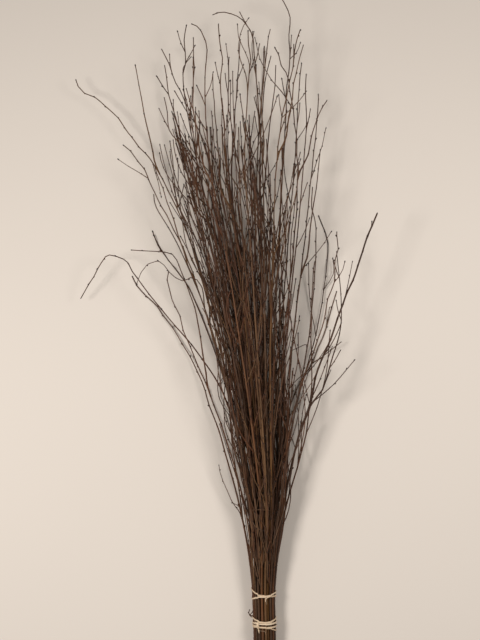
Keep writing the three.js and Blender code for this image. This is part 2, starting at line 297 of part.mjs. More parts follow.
// The upper tie: one strand wound twice, crossing itself in an X on top, with a short cut tail
{
  const y = UPPER_TIE_Y;
  const first = turn(y - 0.8, y + 2.0, y + 12.2, y + 4.5);
  const second = turn(y + 6.6, y + 1.2, y - 6.4, y + 0.5, [[92, 0.75, 34], [292, 0.75, 34]]);
  const tail = strand([[66, y + 1.6, 0.9], [71, y - 1.5, 0.75], [79, y - 5, 0.45], [86, y - 8.5, 0.15]], false, 2.2, 0.9);
  addNode('upper_tie', meshOfSolid(first.add(second).add(tail)), 0xd8c19a, 0.75);
}

// The lower tie: four turns side by side, drawn together in a flat knot on the upper left
{
  const y = LOWER_TIE_Y;
  const turns = [
    turn(y + 9.2, y + 3.9, y + 11.4, y + 8.0),
    turn(y + 1.9, y + 1.8, y + 1.0, y + 3.0, [[100, 0.7, 50]]),
    turn(y - 4.7, y - 4.2, y - 4.9, y - 3.4, [[124, 0.55, 50]]),
    turn(y - 12.8, y - 4.6, y - 1.8, y - 8.0, [[110, 0.75, 62], [240, 0.6, 40]]),
  ];
  let tie = turns[0];
  for (const t of turns.slice(1)) tie = tie.add(t);
  tie = tie.add(knot(122, y - 1.4, 11, 10.5, 3.0, 0.8));
  tie = tie.add(strand([[118, y - 4, 1.3], [112, y - 8, 1.0], [106, y - 12, 0.6], [101, y - 15, 0.2]], false, 2.4, 0.9));
  addNode('lower_tie', meshOfSolid(tie), 0xd8c19a, 0.75);
}

export default group;
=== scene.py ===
import math

import bpy
import numpy as np
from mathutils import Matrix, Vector


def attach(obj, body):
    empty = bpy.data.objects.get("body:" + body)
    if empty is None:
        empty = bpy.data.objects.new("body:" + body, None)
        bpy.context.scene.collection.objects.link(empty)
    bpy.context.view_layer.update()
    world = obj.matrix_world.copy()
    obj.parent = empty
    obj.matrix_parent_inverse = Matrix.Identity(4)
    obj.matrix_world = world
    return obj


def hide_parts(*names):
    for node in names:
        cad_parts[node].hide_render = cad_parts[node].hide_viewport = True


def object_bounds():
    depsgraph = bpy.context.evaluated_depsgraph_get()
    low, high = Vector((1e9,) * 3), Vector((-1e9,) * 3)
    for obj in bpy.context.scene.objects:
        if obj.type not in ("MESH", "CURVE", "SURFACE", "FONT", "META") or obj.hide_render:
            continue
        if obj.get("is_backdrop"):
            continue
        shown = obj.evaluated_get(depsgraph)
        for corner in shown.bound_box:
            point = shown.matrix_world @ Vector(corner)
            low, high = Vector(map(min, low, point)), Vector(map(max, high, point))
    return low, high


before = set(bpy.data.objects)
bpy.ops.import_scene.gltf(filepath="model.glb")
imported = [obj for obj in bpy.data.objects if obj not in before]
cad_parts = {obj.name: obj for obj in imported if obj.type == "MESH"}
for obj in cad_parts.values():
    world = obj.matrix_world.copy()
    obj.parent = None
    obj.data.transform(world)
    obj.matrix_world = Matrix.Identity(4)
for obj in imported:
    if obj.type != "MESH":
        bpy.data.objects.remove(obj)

lo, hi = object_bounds()
cad_box = [list(lo), list(hi)]

# Radius at the butt, radius at the tip, then the centre line from butt to tip, in millimetres, as in the solids
STEMS = [
    [2.7, 0.8, 57.1, -574.96, 10.02, 55.82, -506.19, 10.02, 53.35, -436.64, 10.55, 50.88, -366.87, 12.51, 45.4, -297.13, 15.13, 34.84, -227.48, 18.3, 22.08, -157.98, 21.94, 8.19, -88.71, 25.11, -7.83, -19.66, 26.96, -25.14, 49.3, 27.59, -60.44, 169.87, 28.85, -87, 233.46, 30.59, -108.5, 276.35, 31.93, -128.05, 308.92, 32.98, -142.65, 324.33, 33.48, -165.7, 353.45, 34.28, -182.59, 378.1, 34.97, -220.14, 412.17, 35.74, -248.62, 427.07, 36.01, -255.41, 443.5, 36.32],
    [2.3, 0.8, 57.37, -575.03, 15.43, 56.07, -504.98, 15.43, 53.62, -435.5, 16.33, 50.95, -365.55, 20.41, 44.95, -295.67, 25.71, 33.48, -225.97, 32.18, 3.94, -87.71, 44.81, -14.05, -19.17, 49.66, -33.89, 49.1, 53.8, -65.64, 142.63, 58.56, -92.71, 198.58, 61.17, -121.36, 252.72, 63.55, -134.03, 283.66, 64.73, -161.8, 320.3, 66.14, -170.74, 327.91, 66.27],
    [2.5, 0.8, 66.88, -574.15, 14.86, 65.6, -505.1, 14.86, 63.8, -435.62, 15.72, 62.45, -296.04, 23.03, 56.86, -226.47, 27.6, 40.85, -88.15, 36.24, 22.37, 49.18, 42.8, 12.47, 117.64, 43.97, 0.25, 186.09, 44.2, -14.38, 254.51, 44.68, -36.48, 336.4, 46.55, -75.06, 421.5, 48.9, -83.55, 436.13, 49.24, -90.96, 458.91, 49.78, -107.04, 493.49, 50.19],
    [2.5, 0.8, 60.73, -570.08, 29.84, 59.46, -501.73, 29.84, 57.26, -432.48, 31.76, 55.92, -362.38, 39.38, 52.4, -292.65, 47.61, 44.54, -223.41, 55.69, 24.44, -86.42, 70.2, 0.42, 48.9, 81.87, -13.02, 116.15, 84.97, -29.27, 183.31, 86.75, -48.52, 250.5, 87.12, -74.84, 338.57, 81.87, -81.05, 370.78, 80.41, -92.02, 403.83, 79.21, -100.83, 460.6, 77.67],
    [2.4, 0.8, 52.62, -569.81, 24.21, 51.37, -503, 24.21, 48.6, -433.66, 25.72, 45.92, -363.6, 32.11, 40.97, -293.8, 39.27, 31.55, -224.46, 46.08, 18.5, -155.66, 51.04, -5.07, -87.26, 53.69, -49.44, -19.06, 54.33, -107, 49.11, 53.79, -159.35, 117.33, 52.51, -166.24, 132.69, 52.3, -194.95, 142.65, 58.11, -201.67, 141.76, 58.96, -222.31, 108.93, 48.76, -247.72, 69.97, 28.36],
    [2.4, 0.8, 52.77, -572.5, 17.94, 51.5, -504.41, 17.94, 48.73, -434.98, 19, 40.47, -365.39, 21.28, 23.91, -282.27, 22.35, 8.98, -227.06, 21.73, -10.91, -158.2, 18.63, -30.04, -106.54, 14.5, -41.98, -68.57, 11.08, -64.78, -25.29, 6.85, -80.92, 2.49, 4.98, -122.47, 59.92, 1.92, -154.04, 91.28, 1.17, -161.13, 106.97, 0.81],
    [2.2, 0.8, 56.55, -567.52, 32.95, 55.31, -501.03, 32.95, 52.82, -431.83, 35.08, 50.18, -361.69, 43.56, 44.45, -291.88, 53.2, 33.61, -222.59, 63.19, 20.52, -153.93, 72.62, 6.11, -85.84, 81.53, -11.06, -18.31, 88.9, -31.72, 48.82, 93.56, -51.73, 99.05, 94.7, -73.72, 149.28, 94.92, -91.2, 182.79, 94.76, -115.25, 223.02, 94.29, -118.24, 241.47, 94.07],
    [2, 0.8, 53.85, -570.98, 29.24, 52.57, -501.87, 29.24, 49.89, -432.61, 31.11, 45.37, -362.63, 37.88, 35.66, -292.91, 45.71, 18.55, -223.68, 53.18, -2.83, -155.08, 58.25, -27.81, -86.92, 60.33, -70.26, 15.05, 58.2, -77.81, 43.98, 57, -89.36, 66.12, 55.89, -97.45, 101.94, 53.99, -95.6, 113.89, 53.36],
    [2.9, 1.35, 86.38, -568.98, 26.73, 85.13, -502.43, 26.73, 84.7, -433.13, 28.43, 90.83, -362.87, 36.45, 99.86, -292.83, 46.27, 111.54, -226.74, 56.38, 128.93, -152.67, 67.13, 140.75, -121.89, 71.33, 148.6, -94.11, 75.12, 153.53, -62.36, 79.23, 179.58, 3.5, 87.27, 201.34, 67.24, 93.9, 219.95, 111.34, 97.65, 232, 151.02, 100.14, 243.29, 182.31, 102.02, 254.93, 209.46, 102.88],
    [2.2, 0.8, 87.4, -572.4, 15.68, 86.14, -504.92, 15.68, 85.78, -435.45, 16.6, 93.02, -365.55, 20.46, 104.41, -295.74, 25.25, 137.48, -174.17, 34.42, 143.85, -131.01, 37.19, 149.4, -70.8, 40.31, 147.88, -2.19, 42.54, 150.91, 103.95, 43.85, 154.04, 131.34, 43.96],
    [2.2, 0.8, 84.31, -570.38, 31.89, 83.03, -501.27, 31.89, 82.45, -432.05, 33.95, 87.77, -361.99, 41.76, 101.6, -222.89, 60.48, 109.76, -154.27, 68.36, 119.63, -111.69, 72.12, 135.45, -60.81, 75.82, 165.23, 21.94, 79, 175.48, 71.68, 79.08, 184.63, 93.11, 78.66, 186.94, 133.29, 77.68, 191.38, 151.88, 77.09, 189.58, 179.61, 76.22],
    [2.2, 0.8, 85.35, -573.77, 11.36, 84.08, -505.89, 11.36, 83.58, -436.4, 11.76, 89.54, -366.96, 11.87, 106, -228.08, 12.46, 115.11, -158.76, 11.8, 131.12, -89.43, 10.53, 160.58, 18.16, 7.46, 177.35, 126.75, 3.25, 178.3, 173.13, 1.66, 163.54, 212.38, 0.81],
    [2.3, 0.8, 80.6, -566.5, 35.3, 79.36, -500.5, 35.3, 78.53, -431.33, 37.59, 84.19, -361.11, 46.98, 102.71, -222.04, 68.28, 113.2, -153.54, 77.46, 139.63, -9.83, 93.61, 146.16, 48.78, 98.27, 152.12, 125.61, 100.54, 152.31, 195.79, 100.26, 146.3, 219.22, 99.87, 147.35, 252.69, 99.34],
    [2, 0.8, 82.19, -576.97, 8.03, 80.88, -506.64, 8.03, 80.15, -437.06, 8.4, 90.95, -297.97, 8.96, 96.13, -228.58, 8.07, 103.9, -159.19, 6.61, 120.31, -98.44, 4.75, 154.4, -37.6, 2.61, 160.26, -20.2, 1.98, 169.92, -0.34, 1.7, 194.3, 80.86, 0.81],
    [2.9, 0.8, 73.48, -568.58, 28.31, 72.23, -502.07, 28.31, 70.91, -432.8, 30.12, 75.15, -292.81, 46.47, 74.38, -223.5, 54.86, 70.12, -86.53, 67.99, 67.99, 48.93, 77.97, 67.24, 183.43, 84.92, 65.33, 250.56, 86.5, 62.58, 317.81, 86.32, 50.81, 469.68, 83.15, 46.42, 513.27, 84, 36.32, 529.07, 84.85, 22.87, 542.53, 84.85, -1.54, 550.48, 83.15, -18.44, 547.02, 79.75],
    [2.8, 0.8, 77.23, -574.3, 19.04, 75.93, -504.16, 19.04, 74.86, -434.75, 20.19, 81.72, -294.91, 31.23, 82.72, -156.19, 44.3, 83.75, -19.02, 56.29, 86.57, 49.06, 60.07, 90.42, 116.98, 62.09, 96.59, 252.46, 66.31, 104.36, 387.32, 71.4, 104.41, 420.98, 72.41, 109.29, 454.62, 73.42, 110.39, 489.94, 74.32, 108.49, 509.27, 74.81, 110.82, 543.73, 75.57, 103.72, 562.22, 75.94, 95.11, 577.34, 76.25],
    [2.8, 0.8, 62.42, -572.52, 24.34, 61.12, -502.97, 24.34, 59.03, -433.63, 25.87, 58.11, -363.65, 31.81, 55.21, -293.91, 38.5, 48.06, -224.52, 45.47, 39.04, -155.59, 51.91, 18.48, -18.89, 62.13, 7.3, 49.02, 65.43, -4.83, 116.82, 66.64, -19.32, 184.66, 66.06, -45.52, 295.19, 63.3, -68.26, 414.43, 60.78, -70.55, 451.09, 60.1, -66.9, 463.89, 59.85, -66.77, 487.78, 59.36, -69.14, 508.27, 58.95, -65.14, 532.17, 58.52],
    [2.5, 0.8, 66.37, -566.83, 37.12, 65.13, -500.09, 37.12, 63.32, -430.95, 39.54, 63.2, -360.84, 48.6, 61.36, -291.02, 59.38, 55.29, -221.72, 71.22, 38.08, -85.3, 92.29, 28.11, -18.07, 99.72, 18.15, 48.74, 104.61, 7.59, 115.36, 106.92, -17.19, 248.54, 107.82, -25.88, 315.22, 107.24, -30.47, 361.14, 106.46, -32.24, 438.07, 104.88, -28.75, 486.65, 103.72, -34.08, 504.26, 103.29, -43.64, 521.02, 102.93, -53.21, 525.71, 102.86],
    [2.6, 0.8, 67.95, -571.52, 26.22, 66.67, -502.54, 26.22, 64.96, -433.24, 27.88, 64.69, -293.28, 43.05, 60.15, -223.87, 51.47, 46.92, -86.68, 65.05, 32.42, 48.94, 75.99, 25.13, 116.32, 80.37, 7.26, 250.75, 84.46, 0.86, 318.01, 84.72, -0.23, 368.46, 84.79, -5.47, 402.09, 84.85, -6.17, 444.12, 84.93, -3.24, 473.55, 84.96, -8.71, 502.98, 84.97, -10.11, 529.04, 84.98],
    [2.8, 0.8, 81.2, -567.3, 23.44, 79.99, -503.17, 23.44, 79.21, -433.82, 24.9, 88.71, -293.75, 39.64, 91.91, -224.33, 47.23, 96.17, -86.93, 60.18, 99.76, -18.81, 66.09, 105.68, 48.98, 71.47, 119.05, 183.77, 79.72, 122.92, 259.26, 83.45, 121.74, 322.94, 85.61, 119.06, 356.48, 86.22, 112.39, 405.11, 86.96, 107.09, 435.3, 87.3, 103.26, 448.71, 87.46, 96.54, 458.77, 87.55, 91.68, 474.54, 87.7, 85, 488.62, 87.82],
    [2.5, 0.8, 75.62, -567.28, 33.69, 74.38, -500.86, 33.69, 73.21, -431.67, 35.87, 78.87, -291.57, 55.46, 79.18, -222.28, 66.04, 78.1, -153.71, 75.44, 76.95, -18.23, 92.7, 78.33, 48.77, 100.24, 80.6, 115.4, 105.57, 84.27, 248.23, 111.1, 89.01, 314.62, 112.17, 96.8, 372.76, 112.33, 113.03, 447.58, 112.2, 120.51, 499.1, 112.2, 125.99, 513.06, 112.19],
    [2.4, 0.8, 80.58, -575.9, 13.2, 79.27, -505.48, 13.2, 78.43, -435.97, 13.94, 87.27, -296.4, 20.46, 89.77, -226.75, 25.06, 92.13, -88.25, 34.2, 94.55, -19.44, 37.17, 105.1, 117.79, 39.91, 110.61, 186.29, 41.11, 121.23, 322.87, 45.33, 126.43, 421.53, 48.68, 131.23, 469.14, 49.86],
    [2.4, 0.8, 82.84, -572.64, 18, 81.56, -504.4, 18, 80.89, -434.96, 19.09, 91.15, -295.11, 29.82, 94.75, -225.67, 34.93, 99.42, -87.7, 45.09, 103.2, -19.13, 51.05, 109.42, 49.09, 56.49, 124.42, 184.91, 62.31, 135.15, 311.94, 65.16, 139.01, 366.93, 66.11, 137.05, 421.9, 66.95, 138.31, 447.26, 67.31],
    [2.5, 0.8, 87.26, -571.73, 20.96, 85.99, -503.73, 20.96, 85.62, -434.34, 22.25, 98.1, -294.5, 34.22, 103, -225.03, 40.85, 109.59, -87.33, 52.4, 114.51, -19.01, 56.8, 121.96, 49.06, 59.54, 136.32, 168.04, 60.26, 144.73, 253.01, 60.54, 157.6, 375.28, 61.23, 159.3, 414.35, 61.25],
    [2.5, 0.8, 75.15, -574.57, 12.85, 73.86, -505.56, 12.85, 72.65, -436.04, 13.57, 77.1, -296.3, 21.13, 76.01, -226.75, 25.04, 73.05, -157.44, 28.76, 66.88, -19.46, 35.94, 63.84, 117.69, 42.55, 59.51, 254, 49.99, 60.55, 321.9, 53.15, 66.08, 410.07, 56.23, 69.8, 443.94, 57.26, 78.7, 480.21, 58.08],
    [2.4, 0.8, 71.99, -568.13, 38.54, 70.72, -499.77, 38.54, 69.3, -430.65, 41.06, 70.79, -360.49, 50.72, 71.57, -290.63, 62.27, 68.9, -221.33, 74.8, 59.53, -85.07, 96.69, 50.44, 48.67, 113, 46.52, 114.96, 117.85, 41.52, 181.12, 120.23, 36.35, 247.32, 120.77, 34.14, 313.58, 120.58, 41.6, 446.19, 119.84, 44.35, 462.78, 119.7, 40.2, 487.67, 119.48, 39.53, 510.25, 119.29],
    [2.1, 0.8, 60.83, -575.65, 6.23, 59.55, -507.05, 6.23, 57.33, -437.44, 6.47, 55.05, -367.85, 6.66, 49.11, -298.24, 7.07, 37.02, -228.7, 7.11, 21.37, -159.2, 6.56, 3.26, -89.72, 5.16, -18.71, -20.17, 3.37, -60.89, 84.33, 1.43, -82.29, 115.71, 1.11, -98.83, 136.62, 0.99, -118.09, 166.26, 0.88, -125.84, 185.43, 0.81],
    [2.73, 0.8, 67.09, -570.84, 20.55, 65.83, -503.82, 20.55, 64.06, -434.43, 21.81, 63.64, -294.69, 32.83, 59.38, -225.26, 38.7, 47.57, -87.5, 48.93, 37.47, 49.08, 57.63, 30.75, 117.08, 59.39, 10.44, 253.09, 59.67, 5.61, 320.88, 61.47, 7.45, 475.95, 67.9],
    [2.26, 0.8, 70.37, -565.78, 33.74, 69.14, -500.85, 33.74, 67.61, -431.66, 35.92, 69.57, -291.89, 53.11, 66.55, -222.64, 62.73, 55.53, -85.8, 82.38, 48.37, -18.24, 92.21, 41.59, 48.77, 99.69, 35.81, 115.51, 102.58, 26.06, 248.96, 103.39, 23.71, 351.73, 108.21],
    [2.71, 0.8, 70.11, -572.53, 10.17, 68.86, -506.16, 10.17, 67.3, -436.65, 10.51, 67.14, -297.79, 9.86, 62, -228.3, 10.02, 54.36, -158.79, 10.82, 45.45, -89.32, 11.86, 24, 49.39, 12.58, 13.02, 118.77, 10.85, -12.59, 258.1, 3.92, -23.14, 328, 0.82, -26.05, 366.28, 0.95],
    [2.67, 0.8, 75.65, -573.27, 7.26, 74.41, -506.82, 7.26, 73.22, -437.23, 7.55, 78.24, -298.05, 7.93, 78.13, -228.51, 8.07, 71.99, -89.43, 9.56, 64.99, 49.4, 11.46, 62.33, 118.75, 11.07, 55.83, 257.93, 5.52, 57.27, 327.85, 1.8, 62.29, 397.55, 0.86, 66.71, 466.64, 3.75, 67.68, 504.3, 6.71],
    [2.43, 0.8, 65.89, -568.18, 31.32, 64.64, -501.4, 31.32, 62.8, -432.17, 33.33, 60.75, -292.4, 49.43, 47.65, -154.44, 66.21, 41.47, -86.2, 74.55, 29.58, 48.84, 90.03, 20.29, 115.77, 95.38, -5.48, 249.17, 101.16, -11.42, 299.24, 101.47],
    [2.29, 0.8, 62.32, -575.7, 17.97, 61, -504.4, 17.97, 58.89, -434.97, 19.05, 55.79, -295.22, 28.97, 49.76, -225.75, 34.16, 41.47, -156.65, 38.61, 31.15, -87.86, 41.88, 18.21, -19.29, 44.15, -9.66, 117.47, 48.79, -40.19, 253.57, 54.55, -48.41, 321.52, 56.28, -49.38, 392.86, 57.41],
    [2.41, 0.8, 61.87, -572.29, 12.84, 60.62, -505.56, 12.84, 58.48, -436.05, 13.57, 57.27, -366.29, 15.99, 53.8, -296.65, 18.59, 45.83, -227.17, 21.16, 23.49, -88.56, 28.21, 9.33, -19.56, 31.61, -5.24, 49.26, 32.82, -20.72, 118.08, 31.06, -59.11, 256.03, 27.51, -72.11, 324.94, 28.59, -73.22, 342.11, 29.05],
    [2.49, 0.8, 71.76, -571.88, 17.19, 70.5, -504.58, 17.19, 69.05, -435.13, 18.22, 71.91, -295.4, 27.69, 68.96, -226.04, 31.59, 57.5, -88.07, 37.85, 53.27, -19.34, 41.67, 52.06, 117.46, 48.86, 45.3, 253.66, 53.64, 42.76, 321.7, 54.79, 41.87, 379.72, 54.2],
    [2.65, 0.8, 60.87, -566.57, 35.98, 59.63, -500.35, 35.98, 57.45, -431.19, 38.32, 56.01, -361.1, 47.04, 52.85, -291.3, 57.4, 45.58, -222.01, 68.49, 25.28, -85.51, 88.19, 12.4, -18.15, 96.46, -2, 48.75, 103.14, -18.92, 115.36, 106.9, -56.38, 248.18, 111.66, -60.9, 284.48, 114.14],
    [2.79, 0.8, 79.59, -569.8, 29.25, 78.32, -501.86, 29.25, 77.42, -432.6, 31.12, 82.48, -292.68, 47.37, 82.32, -223.4, 55.78, 79.28, -86.43, 70.06, 78.41, -18.59, 75.85, 80.69, 116.2, 83.65, 79.6, 183.25, 87.74, 70.62, 332.94, 99.16],
    [2.21, 0.8, 64.95, -577.68, 8.71, 63.63, -506.49, 8.71, 61.71, -436.99, 8.76, 58.47, -298.61, 3.65, 51.6, -229.16, 1.74, 42.54, -159.5, 1.3, 22.54, -20.11, 4.51, 3.74, 119.03, 4.15, -31.55, 275.86, 1.34],
    [2.13, 0.8, 57.3, -572.81, 26.17, 56, -502.56, 26.17, 53.55, -433.25, 27.82, 51.13, -363.15, 34.79, 46.34, -293.38, 42.32, 37.21, -224.1, 49.35, 14.51, -86.95, 59.83, -0.52, -18.83, 65.16, -18.65, 48.97, 71.76, -39.98, 116.4, 78.22, -63.7, 183.53, 83.39, -84.81, 250.57, 86.32, -87.89, 270.72, 86.51],
    [2.46, 0.8, 68.37, -574.49, 4.87, 67.12, -507.35, 4.87, 65.42, -437.72, 5.04, 64.84, -298.47, 5.16, 60.13, -228.95, 4.41, 46.41, -89.71, 4.75, 31.9, 49.43, 7.87, 22.14, 118.95, 6.55, -3.8, 258.5, 0.81],
    [2.74, 0.8, 57.49, -569.64, 20.88, 56.26, -503.75, 20.88, 53.82, -434.36, 22.17, 52.25, -364.35, 27.6, 48.12, -294.65, 33.13, 39.38, -225.31, 38.23, 18.51, -87.53, 48.31, -9.1, 49.07, 58.57, -42.24, 184.8, 63.96, -50.9, 227.15, 64.88],
    [2.46, 0.8, 72.51, -573.71, 22.5, 71.2, -503.38, 22.5, 69.81, -434.02, 23.9, 73.32, -294.36, 35.18, 71.07, -225.03, 40.78, 66.75, -156.02, 46.43, 56.04, -18.93, 60.22, 52.61, 49.01, 66.37, 52.04, 116.73, 69.02, 50.83, 269.3, 67.47],
]
BRANCHES = [
    [1.45, 0.8, -121.42, 304.65, 40.13, -124.9, 333.42, 43.09, -135.59, 361.94, 47.33, -134.92, 387.01, 51.07, -147.67, 439.59, 58.78, -151.55, 463.87, 61.79],
    [1.5, 0.8, 162.54, -96.34, 74.49, 174.19, -55.82, 73.71, 188.08, -15.28, 72.79, 196.05, 16.84, 71.97, 197.48, 50.67, 71.1, 196.56, 81.14, 70.38, 189.77, 147.21, 69.11],
    [1.5, 0.8, -45.66, 250.78, 84.13, -52.25, 292.35, 88.53, -65.88, 317.21, 91.17, -68.04, 323.84, 91.76, -88.42, 342.07, 93.37, -93.33, 355.31, 94.55, -96.64, 378.45, 96.61, -95.91, 383.41, 97.05, -100.42, 403.33, 97.98],
    [1.5, 0.8, -33.23, 273.2, 110.89, -37.64, 314.56, 112.63, -47.45, 355.74, 115.16, -48.82, 380.41, 116.68, -52, 392.56, 117.45, -49.78, 414.06, 118.82, -49.97, 446.01, 120.86, -46.32, 472.9, 122.21, -50.86, 497.96, 123.48],
    [1.5, 0.8, 67.47, 317.24, 90.92, 61.85, 399.94, 98.29, 67.34, 449.2, 103.28, 69.45, 481.98, 106.27, 76.22, 514.68, 109.25],
    [1.5, 0.8, 98.57, 318.41, 108.4, 114.52, 408.23, 98.72, 119.5, 444.94, 94.43, 123.88, 466.26, 92.41, 129.95, 481.6, 91.09, 132.35, 492.53, 90.16],
    [1.5, 0.8, 136.78, 291.64, 94.79, 139.62, 316.42, 97.56, 144.12, 340.93, 101.9, 153.28, 365.34, 106.23, 170.29, 396.32, 110.52],
    [1.5, 0.8, -28.87, -78.23, 64.53, -37.63, -18.8, 66.52, -49.59, 48.99, 69.36, -58.19, 82.83, 70.71, -73.73, 116.61, 72.13, -63.38, 133.3, 73.9, -88.74, 142.78, 73, -156.09, 150.23, 76.31],
    [1.6, 0.8, 12.72, 236.43, 55.71, 12.3, 304.96, 52.26, 18.22, 391.08, 46.74, 26.77, 512.15, 39.86],
    [1.6, 0.8, 65.87, 238.82, 28.37, 72.93, 321.71, 54.71, 76.54, 362, 71.02, 83.54, 409.76, 89.36, 85.29, 449.13, 103.63, 85.88, 455.62, 104.66],
    [1.6, 0.8, -3.87, 234.48, 78.14, -8.44, 294.39, 70.39, -18.39, 407.18, 53.01, -20.23, 450.82, 47.3],
    [1.6, 0.8, 139.15, 125.24, 67.98, 142.96, 175.61, 75.31, 156.93, 275.14, 92.45, 160.16, 316.24, 99.03],
    [1.6, 0.8, -43.24, 203.78, 33.49, -54.33, 252.75, 23.23, -70.28, 300.45, 12.17, -76.82, 327.17, 6, -82.17, 344.72, 4.36, -90.42, 383.43, 0.81],
    [1.5, 0.8, -56.47, 108.49, 65.8, -80.36, 183.74, 80.9, -102.34, 249.65, 96.15, -115.35, 285.86, 101.65],
]
PARENTS = [0, 8, 3, 17, 14, 20, 19, 7, 27, 30, 18, 23, 16, 1]  # the stem that each branch forks from
UPPER_TIE_Y, LOWER_TIE_Y = -442.8, -490.9
TAPER_POWER = 1.6
# Small side twigs on the edges of the brush: stem, radius at its root and tip, then its line from tip to root as x, y
SPRIGS = [
    (6, 1.15, 0.60, -147.2, 92.4, -137.1, 115.8, -127.9, 125.9, -114.5, 130.9, -102.8, 125.9, -87.7, 107.5, -69.3, 97.4, -52.5, 104.1, -37.4, 85.7, -27.4, 52.2),
    (5, 0.95, 0.60, -10.0, -218.4, -8.3, -230.5, -1.4, -249.5, 14.1, -284.0, 26.2, -301.3, 36.6, -325.5),
    (5, 0.70, 0.55, 13.3, -284.0, 22.8, -288.4, 29.7, -303.0, 35.7, -322.0),
    (5, 0.90, 0.70, 42.7, -468.9, 41.5, -473.3, 43.9, -478.5, 48.7, -483.6),
    (5, 0.80, 0.70, 47.5, -472.4, 44.1, -475.9, 45.3, -481.1, 49.4, -487.1),
    (16, 0.90, 0.65, -57.2, 477.4, -63.9, 470.6, -70.3, 460.4, -74.1, 446.8),
    (25, 0.95, 0.60, 40.1, 532.3, 31.2, 519.1, 26.2, 504.2, 23.7, 479.3, 27.9, 459.4, 36.2, 437.9, 42.8, 413.1),
    (25, 0.80, 0.60, 22.1, 520.7, 24.2, 500.0, 34.5, 475.2, 42.0, 456.1, 45.8, 432.9),
    (14, 0.90, 0.60, 49.5, 517.8, 46.4, 494.9, 48.1, 469.7, 51.5, 442.8),
    (19, 0.95, 0.60, 51.4, 506.8, 59.8, 472.3, 75.8, 441.2, 100.2, 410.2, 117.0, 384.9),
    (12, 0.80, 0.60, 113.4, -19.0, 126.8, -13.2, 137.7, -9.0, 142.7, -14.9),
    (0, 0.80, 0.60, -109.6, 245.3, -114.8, 269.4, -119.9, 286.6, -128.5, 296.9),
    (3, 0.90, 0.60, -88.3, 382.4, -81.6, 355.4, -74.8, 325.1, -63.0, 293.1),
    (8, 0.80, 0.65, 246.8, 195.8, 243.4, 179.1, 236.8, 157.4),
    (8, 0.90, 0.60, 213.9, 129.2, 210.5, 109.1, 202.1, 72.3),
    (11, 0.80, 0.60, 188.2, 133.1, 188.2, 110.4, 179.5, 84.3),
    (10, 0.80, 0.60, 203.3, 129.9, 198.2, 113.0, 189.8, 92.8),
    (23, 0.90, 0.60, 172.4, 358.4, 167.3, 334.6, 158.8, 307.4, 146.9, 270.0),
    (23, 0.90, 0.60, 180.9, 181.6, 169.0, 162.9, 153.7, 142.5, 136.7, 120.4),
    (26, 0.80, 0.60, -123.7, 178.5, -116.7, 161.0, -106.2, 141.9),
    (1, 0.80, 0.60, -179.1, 303.5, -163.8, 293.3, -146.8, 283.2, -134.9, 276.4),
    (17, 0.80, 0.60, -18.8, 445.6, -22.1, 425.6, -29.6, 402.2),
    (20, 0.80, 0.60, 135.9, 411.0, 125.9, 397.7, 112.7, 384.4, 97.7, 367.8),
    (15, 0.80, 0.60, 127.6, 498.6, 122.6, 485.0, 114.6, 468.1),
    (21, 0.80, 0.60, 144.3, 377.6, 137.4, 360.5, 125.4, 336.6),
    (27, 0.80, 0.60, 2.5, 499.7, 5.9, 472.6, 11.0, 438.7),
]
